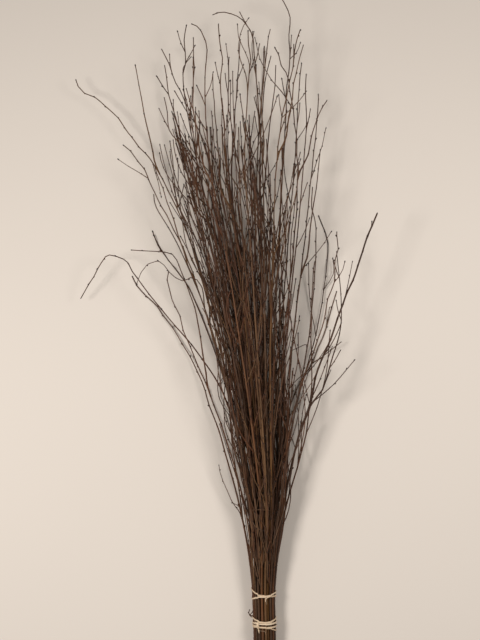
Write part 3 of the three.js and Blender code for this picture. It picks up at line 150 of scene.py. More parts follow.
# Thin strays over the front of the neck: stem, radius at root and tip, then its line from root to tip as x, y
STRAYS = [
    (25, 0.80, 0.60, 60.2, -360.3, 55.1, -331.4, 46.1, -307.7, 35.6, -290.7, 27.9, -268.6),
    (14, 0.95, 0.70, 68.7, -385.8, 73.4, -358.6, 81.9, -328.0, 88.1, -287.3, 92.5, -253.3, 101.0, -209.1),
    (6, 0.75, 0.60, 61.9, -421.5, 50.9, -397.7, 44.1, -379.0, 40.7, -350.1),
    (6, 0.70, 0.55, 46.6, -375.6, 43.2, -355.2, 41.3, -328.0, 37.6, -302.6),
    (17, 0.80, 0.60, 70.4, -341.6, 65.3, -307.7, 63.6, -273.7, 67.0, -236.3),
    (20, 0.80, 0.60, 63.6, -396.0, 67.0, -362.0, 63.6, -328.0, 55.1, -299.2, 51.7, -270.3),
    (12, 0.90, 0.60, 48.3, -222.7, 55.1, -171.8, 65.3, -120.8, 77.2, -69.9, 87.4, -18.9, 95.9, 28.7),
    (15, 0.90, 0.60, 38.1, -197.2, 43.2, -146.3, 44.9, -95.3, 50.0, -44.4, 63.6, 6.6),
    (30, 0.85, 0.60, 85.7, -188.8, 73.8, -146.3, 63.6, -103.8, 53.4, -56.3, 36.4, -10.4, 19.4, 23.6),
    (27, 0.85, 0.60, 63.6, -239.7, 53.4, -197.2, 39.8, -154.8, 22.8, -112.3, 9.2, -69.9, 2.5, -18.9),
    (21, 0.80, 0.60, 80.6, -273.7, 85.7, -231.2, 80.6, -180.3, 89.1, -137.8, 101.0, -95.3, 111.2, -44.4),
    (19, 0.85, 0.60, 56.8, -154.8, 73.8, -107.2, 84.0, -78.3, 99.3, -35.9),
    (18, 0.85, 0.60, 26.2, -103.8, 16.0, -56.3, -4.3, -10.4, -17.9, 35.5, -24.7, 83.0),
    (16, 0.85, 0.60, 5.8, -69.9, 16.0, -18.9, 31.3, 28.7, 38.1, 83.0, 53.4, 130.6),
    (24, 0.85, 0.60, 63.6, -78.3, 51.7, -22.3, 46.6, 28.7, 31.3, 79.6, 27.9, 130.6),
    (3, 0.80, 0.60, 12.6, -10.4, -4.3, 35.5, -29.8, 79.6, -48.5, 130.6, -58.7, 176.4),
    (22, 0.80, 0.60, 87.4, -103.8, 84.0, -56.3, 94.2, -1.9, 89.1, 49.0, 101.0, 100.0),
    (28, 0.80, 0.60, 19.4, 32.1, 31.3, 83.0, 29.6, 130.6, 46.6, 181.5, 53.4, 235.9),
    (35, 0.80, 0.60, 0.8, 66.0, -9.4, 113.6, -0.9, 167.9, -14.5, 218.9, -9.4, 266.5),
    (6, 0.95, 0.65, 47.6, -396.0, 43.6, -368.8, 39.5, -341.6, 35.1, -311.0, 31.3, -282.2, 26.2, -253.3),
    (6, 0.90, 0.60, 48.3, -375.6, 44.6, -350.1, 41.2, -324.6, 37.9, -299.2, 34.4, -270.3, 30.1, -239.7),
    (12, 0.90, 0.60, 50.0, -355.2, 46.6, -329.7, 43.2, -304.3, 39.0, -277.1, 34.7, -246.5, 31.3, -214.2),
    (25, 0.90, 0.60, 51.7, -341.6, 46.3, -316.1, 41.5, -290.7, 35.2, -260.1, 27.9, -231.2, 20.3, -205.7),
    (20, 0.80, 0.60, 61.9, -424.9, 57.7, -399.4, 51.7, -372.2, 45.8, -345.0, 40.8, -319.5, 37.3, -297.5),
    (17, 0.80, 0.60, 70.4, -380.7, 75.5, -356.9, 82.3, -333.1, 88.2, -311.0, 91.6, -290.7),
    (14, 0.80, 0.60, 77.2, -367.1, 84.0, -345.0, 91.6, -322.9, 99.3, -299.2, 104.4, -273.7),
    (25, 0.70, 0.55, 41.5, -295.8, 50.0, -291.5, 63.6, -289.8, 77.2, -292.4, 89.1, -297.5),
    (20, 0.70, 0.55, 43.2, -300.9, 47.5, -312.7, 55.1, -322.9, 65.3, -326.3),
    (6, 0.75, 0.60, 63.6, -429.9, 56.8, -409.6, 51.4, -389.2, 48.3, -363.7),
    (15, 0.80, 0.60, 63.6, -350.1, 56.8, -321.2, 54.3, -290.7, 60.2, -260.1, 70.4, -231.2),
    (27, 0.80, 0.60, 56.8, -384.1, 64.4, -355.2, 73.8, -324.6, 78.9, -294.1, 77.2, -260.1),
    (30, 0.80, 0.60, 77.2, -401.1, 72.1, -372.2, 63.6, -341.6, 59.4, -311.0, 61.9, -278.8, 56.8, -248.2),
    (21, 0.80, 0.60, 84.0, -375.6, 78.9, -348.4, 70.4, -324.6, 58.5, -302.6, 46.6, -282.2, 38.1, -256.7),
    (18, 0.80, 0.60, 70.4, -294.1, 63.6, -265.2, 50.0, -236.3, 41.5, -205.7, 26.2, -171.8),
    (19, 0.80, 0.60, 82.3, -256.7, 90.8, -222.7, 92.5, -188.8, 102.7, -154.8, 106.1, -124.2),
    (21, 0.80, 0.60, 95.9, -171.8, 104.4, -146.3, 116.3, -120.8, 131.5, -97.0, 148.5, -69.9, 162.1, -39.3),
    (19, 0.80, 0.60, 94.2, -137.8, 102.7, -103.8, 114.6, -78.3, 131.5, -59.7, 150.2, -46.1),
    (22, 0.80, 0.60, 97.6, -205.7, 107.8, -180.3, 121.3, -151.4, 129.8, -117.4, 138.3, -78.3, 150.2, -35.9),
    (14, 0.80, 0.60, 101.0, -236.3, 111.2, -209.1, 124.7, -180.3, 133.2, -146.3, 146.8, -117.4, 155.3, -78.3),
    (6, 1.00, 0.80, 50.7, -428.2, 49.8, -406.2, 48.3, -385.8, 46.3, -362.0, 43.7, -341.6, 40.8, -321.2),
    (6, 0.94, 0.62, 57.7, -411.3, 54.2, -374.7, 48.1, -338.1, 40.5, -301.6, 29.7, -265.0, 17.7, -228.5, 5.0, -191.9),
    (25, 1.01, 0.62, 60.2, -412.4, 58.2, -364.5, 55.6, -316.7, 49.9, -268.9, 39.2, -221.1, 25.1, -173.3, 8.6, -125.4),
    (14, 0.86, 0.62, 81.0, -364.5, 81.2, -331.2, 82.4, -297.8, 81.9, -264.4, 78.2, -231.0, 71.2, -197.6, 60.5, -164.3),
    (17, 0.84, 0.62, 61.1, -417.9, 57.6, -370.9, 51.8, -323.8, 43.2, -276.8, 31.4, -229.8, 19.4, -182.7, 6.8, -135.7),
    (20, 0.96, 0.62, 47.3, -368.4, 45.9, -343.9, 43.6, -319.4, 38.9, -294.9, 31.8, -270.4, 23.5, -245.8, 16.4, -221.3),
    (30, 0.89, 0.62, 78.5, -361.4, 82.7, -320.7, 89.0, -280.0, 94.3, -239.3, 98.6, -198.6, 101.1, -157.9, 103.3, -117.3),
    (21, 1.02, 0.62, 73.7, -412.3, 72.7, -373.0, 68.9, -333.6, 63.3, -294.2, 53.7, -254.9, 42.3, -215.5, 30.4, -176.1),
    (15, 0.96, 0.62, 51.3, -361.1, 49.6, -330.9, 46.2, -300.6, 39.6, -270.3, 31.3, -240.0, 24.1, -209.7, 19.1, -179.5),
    (27, 1.12, 0.62, 83.6, -360.3, 84.5, -330.3, 86.7, -300.3, 89.9, -270.4, 93.3, -240.4, 97.2, -210.4, 100.1, -180.4),
    (19, 1.03, 0.62, 52.7, -390.2, 49.2, -350.1, 43.1, -310.0, 31.7, -269.9, 17.0, -229.8, 2.7, -189.7, -9.3, -149.6),
    (6, 1.13, 0.62, 75.9, -416.7, 77.8, -372.2, 80.8, -327.7, 87.0, -283.2, 94.4, -238.7, 104.3, -194.3, 114.5, -149.8),
    (25, 0.91, 0.62, 75.1, -422.0, 77.0, -388.6, 79.6, -355.2, 83.2, -321.8, 86.7, -288.4, 87.7, -255.0, 86.8, -221.6),
    (14, 0.91, 0.62, 79.3, -423.5, 80.4, -390.5, 80.3, -357.6, 80.5, -324.6, 81.5, -291.6, 82.5, -258.7, 83.7, -225.7),
    (17, 0.96, 0.62, 72.9, -418.0, 72.6, -380.4, 71.9, -342.8, 73.3, -305.2, 74.4, -267.6, 74.3, -230.0, 73.2, -192.3),
    (20, 0.82, 0.62, 78.6, -393.6, 79.1, -367.5, 79.2, -341.5, 79.7, -315.4, 77.9, -289.3, 72.7, -263.3, 64.8, -237.2),
    (30, 0.95, 0.62, 48.8, -375.4, 48.1, -338.8, 48.6, -302.3, 47.4, -265.7, 44.8, -229.1, 42.3, -192.5, 41.2, -155.9),
    (21, 1.15, 0.62, 52.7, -360.7, 49.1, -328.7, 45.0, -296.7, 40.2, -264.7, 36.1, -232.7, 32.8, -200.7, 28.8, -168.7),
    (15, 0.83, 0.62, 61.7, -386.3, 57.4, -342.2, 50.4, -298.1, 38.2, -254.0, 24.4, -210.0, 10.8, -165.9, -2.8, -121.8),
    (27, 1.04, 0.62, 73.3, -425.7, 75.9, -375.3, 79.1, -325.0, 83.1, -274.6, 83.0, -224.3, 81.0, -173.9, 77.6, -123.5),
    (19, 0.86, 0.62, 48.1, -359.8, 46.1, -319.2, 41.7, -278.7, 34.8, -238.1, 29.2, -197.5, 27.4, -156.9, 29.7, -116.3),
    (6, 1.08, 0.62, 84.4, -382.1, 85.1, -337.6, 87.9, -293.1, 88.8, -248.7, 87.3, -204.2, 82.2, -159.8, 72.5, -115.3),
    (25, 0.90, 0.62, 76.5, -426.5, 75.9, -377.2, 74.1, -327.9, 72.1, -278.6, 66.2, -229.3, 57.5, -180.0, 44.6, -130.7),
    (14, 1.03, 0.62, 83.2, -411.4, 86.8, -365.4, 92.1, -319.4, 98.4, -273.4, 100.8, -227.3, 100.7, -181.3, 97.9, -135.3),
    (17, 1.01, 0.62, 47.2, -399.8, 46.2, -368.5, 46.1, -337.2, 47.5, -305.9, 47.9, -274.5, 47.1, -243.2, 46.1, -211.9),
]
# The brush's outline: distance along the bundle, middle and half width, in millimetres
OUTLINE = np.array([
    (-579.9, 69.8, 18.7),
    (-511.9, 68.7, 18.7),
    (-454.1, 67.0, 19.4),
    (-428.6, 66.7, 22.1),
    (-375.9, 67.7, 25.8),
    (-324.9, 69.8, 30.6),
    (-280.7, 70.4, 35.4),
    (-222.9, 66.2, 40.8),
    (-188.9, 62.8, 44.2),
    (-103.9, 56.8, 52.7),
    (-35.9, 51.7, 61.2),
    (66.1, 43.2, 78.2),
    (151.1, 36.4, 96.9),
    (236.1, 24.5, 115.6),
    (321.1, 19.4, 122.4),
    (406.1, 19.4, 122.4),
    (491.1, 22.8, 112.2),
    (576.1, 26.2, 102.0),
])
# How far along the bundle the fill twigs reach at each distance across it
REACH = np.array([
    (-177.8, 134.1),
    (-126.8, 236.1),
    (-104.7, 355.1),
    (-79.2, 453.7),
    (-55.4, 453.7),
    (-36.7, 355.1),
    (-4.4, 346.6),
    (34.7, 414.6),
    (63.6, 460.5),
    (85.7, 440.1),
    (102.7, 406.1),
    (128.2, 304.1),
    (148.6, 219.1),
    (165.6, 151.1),
    (187.7, 49.1),
    (213.2, -1.9),
])


def outline(y):
    return np.interp(y, OUTLINE[:, 0], OUTLINE[:, 1]), np.interp(y, OUTLINE[:, 0], OUTLINE[:, 2])


def spline(pts, step):
    """A smooth line through pts, sampled about every step."""
    p = np.asarray(pts, float)
    if len(p) == 2:
        p = np.array([p[0], p.mean(0), p[1]])
    q = np.vstack([2 * p[0] - p[1], p, 2 * p[-1] - p[-2]])
    out = []
    for i in range(1, len(q) - 2):
        a, b, c, d = q[i - 1], q[i], q[i + 1], q[i + 2]
        n = max(2, int(round(np.linalg.norm(c - b) / step)))
        t = np.arange(n)[:, None] / n
        # tangents scaled for uneven spacing
        lb = max(np.linalg.norm(c - b), 1e-6)
        m1 = (c - a) / (np.linalg.norm(b - a) + lb) * lb
        m2 = (d - b) / (lb + np.linalg.norm(d - c)) * lb
        out.append((2 * t**3 - 3 * t**2 + 1) * b + (t**3 - 2 * t**2 + t) * m1 + (-2 * t**3 + 3 * t**2) * c + (t**3 - t**2) * m2)
    out.append(p[-1][None])
    return np.vstack(out)


def lengths(p):
    return np.r_[0, np.cumsum(np.linalg.norm(np.diff(p, axis=0), axis=1))]


def at_length(p, l, s):
    return np.stack([np.interp(s, l, p[:, k]) for k in range(3)], -1)


class Builder:
    """Collects tubes into one mesh, with grain coordinates, tone and age for the bark, and a map for baking."""

    def __init__(self):
        self.v, self.f, self.smooth, self.mat = [], [], [], []
        self.grain, self.tone, self.age = [], [], []
        self.strips = []  # first face, rings, sides, length, class
        self.caps = []
        self.n = 0

    def tube(self, p, r, sides, tone, age, l0=0.0, cut=False, kind=0, squash=None, cap0=True):
        p, r = np.asarray(p, float), np.asarray(r, float)
        n = len(p)
        t = np.gradient(p, axis=0)
        t /= np.linalg.norm(t, axis=1)[:, None] + 1e-9
        up = np.array([0.0, 0.0, 1.0]) if abs(t[0][2]) < 0.9 else np.array([1.0, 0, 0])
        nrm = np.zeros((n, 3))
        a = up - t[0] * (up @ t[0])
        nrm[0] = a / np.linalg.norm(a)
        for i in range(1, n):
            a = nrm[i - 1] - t[i] * (nrm[i - 1] @ t[i])
            nrm[i] = a / (np.linalg.norm(a) + 1e-9)
        b = np.cross(t, nrm)
        ang = 2 * np.pi * np.arange(sides) / sides
        ca, sa = np.cos(ang), np.sin(ang)
        rr = r[:, None] * (np.ones((n, sides)) if squash is None else squash)
        v = p[:, None] + (nrm[:, None] * ca[None, :, None] + b[:, None] * sa[None, :, None]) * rr[..., None]
        l = lengths(p) + l0
        base = self.n
        self.v.append(v.reshape(-1, 3))
        g = np.stack([np.repeat(l, sides), np.tile(ca, n) * np.repeat(r, sides), np.tile(sa, n) * np.repeat(r, sides)], -1)
        self.grain.append(g)
        self.tone.append(np.full(n * sides, tone))
        self.age.append(np.repeat(np.broadcast_to(age, (n,)), sides))
        i = np.arange(n - 1)[:, None] * sides
        k = np.arange(sides)[None]
        k2 = (k + 1) % sides
        quads = np.stack([base + i + k, base + i + k2, base + i + sides + k2, base + i + sides + k], -1).reshape(-1, 4)
        first = len(self.f)
        self.f.extend(quads.tolist())
        self.smooth.extend([True] * len(quads))
        self.mat.extend([0] * len(quads))
        self.strips.append((first, n - 1, sides, lengths(p), kind))
        self.n += n * sides
        for end, ring in ((0, 0), (1, n - 1)):
            if end == 0 and not cap0:
                continue
            o = base + ring * sides
            if cut and end == 0:
                # a cut end: an inner ring and a middle point, so that the pith shows
                inner = self.n
                c = p[0] - t[0] * r[0] * 0.06
                self.v.append(np.vstack([p[0] + (v[0] - p[0]) * 0.45 - t[0] * r[0] * 0.03, c[None]]))
                self.grain.append(np.vstack([g[:sides] * [1, 0.45, 0.45], [[l0, 0, 0]]]))
                self.tone.append(np.full(sides + 1, tone))
                self.age.append(np.full(sides + 1, float(np.ravel(age)[0])))
                self.n += sides + 1
                start = len(self.f)
                for q in range(sides):
                    z = (q + 1) % sides
                    self.f.append([o + z, o + q, inner + q, inner + z])
                    self.f.append([inner + z, inner + q, inner + sides])
                self.smooth.extend([False] * (2 * sides))
                self.mat.extend([1] * (2 * sides))
                self.caps.append((start, 2 * sides))
            else:
                f = [o + q for q in range(sides)]
                start = len(self.f)
                self.f.append(f[::-1] if end == 0 else f)
                self.smooth.append(False)
                self.mat.append(0)
                self.caps.append((start, 1))

    def mesh(self, name, materials):
        me = bpy.data.meshes.new(name)
        v = np.vstack(self.v) * 0.001
        me.from_pydata(v.tolist(), [], self.f)
        me.polygons.foreach_set("use_smooth", self.smooth)
        me.polygons.foreach_set("material_index", self.mat)
        for attr, data, kind in (("grain", np.vstack(self.grain) * 0.001, "FLOAT_VECTOR"), ("tone", np.concatenate(self.tone), "FLOAT"), ("age", np.concatenate(self.age), "FLOAT")):
            a = me.attributes.new(attr, kind, "POINT")
            a.data.foreach_set("vector" if kind == "FLOAT_VECTOR" else "value", data.astype(np.float32).ravel())
        self.unwrap(me)
        for m in materials:
            me.materials.append(m)
        o = bpy.data.objects.new(name, me)
        bpy.context.scene.collection.objects.link(o)
        return o

    def unwrap(self, me):
        """One row of the map after another: along a tube across the row, round it up the row."""
        uv = me.uv_layers.new(name="OFBake")
        start = np.empty(len(me.polygons), np.int32)
        me.polygons.foreach_get("loop_start", start)
        out = np.full((len(me.loops), 2), 0.5)
        tall = {0: 1.0, 1: 0.72, 2: 0.5}  # heights of the classes of row, relative
        total = sum(s[3][-1] * tall[s[4]] for s in self.strips)
        # row length in mm so that the rows fit the square
        rows_mm = math.sqrt(total * 10)
        for _ in range(40):
            spots, y, ok = [], 0.002, True
            unit = None
            plan = []
            for kind in (0, 1, 2):
                mine = sorted([s for s in self.strips if s[4] == kind], key=lambda s: -s[3][-1])
                x = 0.0
                opened = False
                for first, rings, sides, l, _k in mine:
                    j = 0
                    while j < rings:
                        room = rows_mm * 0.99 - x
                        end = int(np.searchsorted(l, l[j] + room, side="right")) - 1
                        end = min(end, rings)
                        if end <= j:
                            x = 0.0
                            opened = False
                            if l[j + 1] - l[j] > rows_mm * 0.98:
                                end = j + 1
                            else:
                                continue
                        if not opened:
                            plan.append([kind, []])
                            opened = True
                        plan[-1][1].append((first, sides, l, j, end, x))
                        x += l[end] - l[j] + rows_mm * 0.006
                        j = end
            height = sum(tall[k] for k, _ in plan)
            cap_rows = math.ceil(len(self.caps) / 60)
            unit = (0.985 - 0.022 * cap_rows) / height
            # a row stands about as tall on the map as it needs for its width
            if unit * rows_mm < 9.0:
                rows_mm *= 1.06
            else:
                break
        for kind, items in plan:
            h = unit * tall[kind]
            for first, sides, l, j, end, x in items:
                k = np.arange(sides)
                v0, v1 = y + h * (0.05 + 0.9 * k / sides), y + h * (0.05 + 0.9 * (k + 1) / sides)
                for q in range(j, end):
                    u0 = 0.004 + 0.99 * (x + l[q] - l[j]) / rows_mm
                    u1 = 0.004 + 0.99 * (x + l[q + 1] - l[j]) / rows_mm
                    s = start[first + q * sides: first + (q + 1) * sides]
                    out[s, 0], out[s, 1] = u0, v0
                    out[s + 1, 0], out[s + 1, 1] = u0, v1
                    out[s + 2, 0], out[s + 2, 1] = u1, v1
                    out[s + 3, 0], out[s + 3, 1] = u1, v0
            y += h
        for c, (first, count) in enumerate(self.caps):
            cxm, cym = 0.008 + 0.0164 * (c % 60) + 0.0075, y + 0.011 + 0.022 * (c // 60)
            rad = 0.0072
            if count == 1:
                poly = me.polygons[first]
                for q in range(poly.loop_total):
                    a = 2 * math.pi * q / poly.loop_total
                    out[poly.loop_start + q] = (cxm + rad * math.cos(a), cym + rad * math.sin(a))
            else:
                sides = count // 2
                for q in range(sides):
                    a, b2 = 2 * math.pi * (q + 1) / sides, 2 * math.pi * q / sides
                    P = lambda ang, f: (cxm + rad * f * math.cos(ang), cym + rad * f * math.sin(ang))
                    s = start[first + 2 * q]
                    for z, c2 in enumerate((P(a, 1), P(b2, 1), P(b2, 0.5), P(a, 0.5))):
                        out[s + z] = c2
                    s = start[first + 2 * q + 1]
                    for z, c2 in enumerate((P(a, 0.5), P(b2, 0.5), (cxm, cym))):
                        out[s + z] = c2
        uv.data.foreach_set("uv", out.astype(np.float32).ravel())


def route_of(row):
    return np.array(row[2:]).reshape(-1, 3)


# ---------------------------------------------------------------- twigs

def shaped(path, r_of, rng, spacing, zig, sides, tone, age_of, b, l0, kind, cut=False, buds=True, cap0=True, first=12.0):
    """A twig with its slight zigzag and its swollen nodes, put in the builder. Gives its line and nodes."""
    l = lengths(path)
    total = l[-1]
    nodes, s = [], first + rng.uniform(0, 8)
    while s < total - 6:
        nodes.append(s)
        s += spacing(s / total) * rng.uniform(0.7, 1.35)
    nodes = np.array(nodes) if nodes else np.array([total * 0.5])
    marks = [0.0, total]
    for s in nodes:
        marks += [s - 3.2, s - 1.2, s + 0.5, s + 2.6]
    gaps = np.sort(np.unique(np.clip(marks, 0, total)))
    extra = []
    for a, c in zip(gaps[:-1], gaps[1:]):
        n = int((c - a) // 15)
        extra += list(np.linspace(a, c, n + 2)[1:-1])
    s = np.sort(np.r_[gaps, extra])
    s = s[np.r_[True, np.diff(s) > 0.4]]
    s[-1] = total
    p = at_length(path, l, s)
    t = np.gradient(p, axis=0)
    t /= np.linalg.norm(t, axis=1)[:, None] + 1e-9
    side = np.cross(t, [0, 0, 1.0])
    side /= np.linalg.norm(side, axis=1)[:, None] + 1e-9
    up = np.cross(side, t)
    turn = rng.uniform(0, 6.28)
    sway = np.cos(turn) * side + np.sin(turn) * up
    knots = np.r_[0, nodes, total]
    signs = np.array([0] + [(-1) ** k for k in range(len(nodes))] + [0]) * zig(knots / total)
    p = p + sway * np.interp(s, knots, signs)[:, None]
    p[:, 2] = np.maximum(p[:, 2], 0.45)
    r = r_of(s / total)
    near = np.abs(s[:, None] - nodes[None]).min(1)
    r = r * (1 + 0.15 * np.exp(-((near / 1.7) ** 2)) * np.clip(1.9 - 0.35 * r, 0.25, 1))
    r = r * (1 + rng.normal(0, 0.02, len(r)))
    b.tube(p, r, sides, tone, age_of(s / total), l0=l0, cut=cut, kind=kind, cap0=cap0)
    if buds:
        for k, sn in enumerate(nodes):
            rn = float(r_of(np.array([sn / total]))[0])
            if rn > 1.6 or rng.uniform() < (0.18 if path[-1][1] - path[0][1] > 60 and sn / total > 0.6 else 0.5):
                continue
            c = at_length(p, s, sn)
            i = min(int(np.searchsorted(s, sn)), len(s) - 1)
            out = sway[i] * (1 if signs[k + 1] >= 0 else -1)
            add_bud(b, c, t[i], out, rn, rng, tone)
    end = p[-1]
    add_bud(b, end - t[-1] * 0.8, t[-1], sway[-1] * 0.12, max(float(r[-1]) * 1.15, 0.62), rng, tone, tip=True)
    return p, s, nodes, signs[1:-1], sway


def add_bud(b, c, t, out, rn, rng, tone, tip=False):
    size = rng.uniform(0.85, 1.25)
    d = t * 0.85 + out * 0.5
    d = d / np.linalg.norm(d)
    q = c + out * rn * 0.55
    long = (3.0 if tip else 2.7) * size
    pts = np.array([q, q + d * long * 0.42, q + d * long * 0.8, q + d * long * 1.05])
    pts[:, 2] = np.maximum(pts[:, 2], 0.45)
    w = 0.8 + 0.38 * min(rn, 1.2)
    b.tube(pts, np.array([0.6, 0.95, 0.62, 0.12]) * w * size, 5, tone * 0.5, np.full(4, 1.35), kind=2, cap0=False)


def linear(a, c):
    return lambda f: c + (a - c) * np.power(1 - np.clip(f, 0, 1), TAPER_POWER)


def wander(rng, n, amount):
    """Smooth random drift, one value per step."""
    x = rng.normal(0, 1, n + 8)
    k = np.hanning(9)
    return np.convolve(x, k / k.sum(), "valid")[:n] * amount


def fill_twig(rng, p0, t0, out, length, straight, free=False):
    """A side twig that leaves at an angle, then bends to run along the brush."""
    ds = 9.0
    n = max(4, int(length / ds))
    a = math.radians(rng.uniform(13, 34))
    edge = rng.uniform(0.75, 1.2)
    short = rng.gamma(2.0, 36) - 12
    d = t0 * math.cos(a) + out * math.sin(a)
    p = [p0]
    wx, wz = wander(rng, n, 0.045), wander(rng, n, 0.042)
    home = t0 * 0.75 + np.array([rng.normal(0, 0.12), 0.5, rng.normal(0, 0.07)])
    home /= np.linalg.norm(home)
    for i in range(n):
        q = p[-1]
        c, w = outline(q[1])
        pull = np.zeros(3)
        u = (q[0] - c) / max(w, 1)
        if abs(u) > edge and not free:
            pull[0] -= np.sign(u) * min((abs(u) - edge) * 0.7, 0.25)
        top = 124 if q[1] > -250 else 90
        if q[2] > top - 22:
            pull[2] -= 0.02 * (q[2] - top + 22) / 4
        if q[2] < 7:
            pull[2] += (7 - q[2]) * 0.03
        d = d + (home - d) * straight + np.array([wx[i], 0, wz[i]]) + pull
        d /= np.linalg.norm(d)
        nxt = q + d * ds
        nxt[2] = min(max(nxt[2], 1.3), 122.5)
        reach = np.interp(nxt[0], REACH[:, 0], REACH[:, 1])
        if nxt[1] > reach - short and i > 3:
            break
        p.append(nxt)
    return np.array(p)


def inside(p, margin=1.0):
    c, w = outline(p[1])
    return abs(p[0] - c) < w * margin


def on_top(x, y):
    """The height of the uppermost stem near a place on the bundle."""
    best = 2.0
    for path, row in zip(stem_paths, STEMS):
        if path[0, 1] <= y <= path[-1, 1]:
            cx_, cz = np.interp(y, path[:, 1], path[:, 0]), np.interp(y, path[:, 1], path[:, 2])
            f = (y - path[0, 1]) / (path[-1, 1] - path[0, 1])
            r = row[1] + (row[0] - row[1]) * (1 - f) ** TAPER_POWER
            if abs(cx_ - x) < r + 1.0:
                best = max(best, cz + r)
    return best


st_tone = (0.29, 0.02, 0.69, 0.84, 0.27, 0.42)
KINKED = (0, 1, 2, 3, 4, 5, 6, 7, 8, 14, 15, 16, 17, 19, 20, 26)  # the stems that stand clear of the rest at their tips
stem_paths = []
for row in STEMS:
    stem_paths.append(spline(route_of(row), 12.0))

DARKEST = max(range(len(stem_paths)), key=lambda k: stem_paths[k][:, 0].max())  # the stem that leans out to the right

FILL = 0.25  # how thickly the brush is filled
THICKER = [(-72, 177, 41, 94, 1.80), (108, 392, 44, 102, 0.60), (142, -146, 44, 128, 1.75), (43, -2, 51, 153, 1.00), (-59, 389, 27, 76, 1.90), (16, 245, 54, 128, 0.50), (77, 347, 24, 68, 1.30), (103, -78, 24, 153, 0.45), (111, 228, 31, 94, 1.45), (36, 168, 15, 60, 0.55), (99, -155, 17, 102, 0.60), (-110, 321, 34, 51, 0.60)]  # places with more or fewer side twigs: x, y, reach across, reach along, factor


def fill_at(p):
    f = FILL
    for x, y, sx, sy, k in THICKER:
        f *= 1 + (k - 1) * math.exp(-(((p[0] - x) / sx) ** 2 + ((p[1] - y) / sy) ** 2))
    return f


def long_fork(rng, a, t0):
    """A long thin fork that runs up the brush beside its stem."""
    c0, w0 = outline(a[1])
    u0 = (a[0] - c0) / w0
    u1 = float(np.clip(u0 * 0.75 + rng.normal(-0.06, 0.42), -1.02, 0.95))
    xt = np.interp(300, OUTLINE[::-1, 0], OUTLINE[::-1, 1]) + u1 * 110
    y1 = np.interp(xt, REACH[:, 0], REACH[:, 1]) - rng.exponential(110) - 5
    if y1 - a[1] < 200:
        return None
    z1 = rng.uniform(8, 114)
    n = 22
    f = np.linspace(0, 1, n)
    y = a[1] + (y1 - a[1]) * f
    c, w = outline(y)
    e = f ** 1.15
    g1, g2 = rng.uniform(0, 6.28, 2)
    amp = rng.uniform(2.5, 8.5)
    wave = rng.uniform(62, 120)
    bend = np.sin(np.pi * f)
    x = c + (u0 + (u1 - u0) * e) * w + amp * np.sin(g1 + y / wave) * np.minimum(f * 3, 1) + rng.normal(0, 6) * bend
    z = a[2] + (z1 - a[2]) * f ** 1.3 + amp * np.sin(g2 + y / (wave * 0.9)) * np.minimum(f * 3, 1)
    p = np.column_stack([x, y, np.clip(z, 1.3, 121)])
    p[0] = a
    return p


def crossing_twig(rng, a, t0, side):
    """A thin twig that leaves its stem, crosses its neighbours in an arc and turns back."""
    n = int(rng.uniform(10, 27))
    th = math.atan2(t0[1], t0[0]) + side * rng.uniform(0.25, 0.75)
    turn = -side * rng.uniform(0.35, 1.15) / n
    z1 = min(a[2] + rng.uniform(4, 30), 120.0)
    p = [a]
    for k in range(n):
        th += turn * (0.5 + k / n)
        q = p[-1] + np.array([math.cos(th), math.sin(th), 0]) * 9.0
        q[2] = a[2] + (z1 - a[2]) * math.sin(0.5 * math.pi * (k + 1) / n)
        c, w = outline(q[1])
        if abs(q[0] - c) > 1.08 * w or q[1] > np.interp(q[0], REACH[:, 0], REACH[:, 1]) - 25:
            break
        p.append(q)
    return np.array(p)


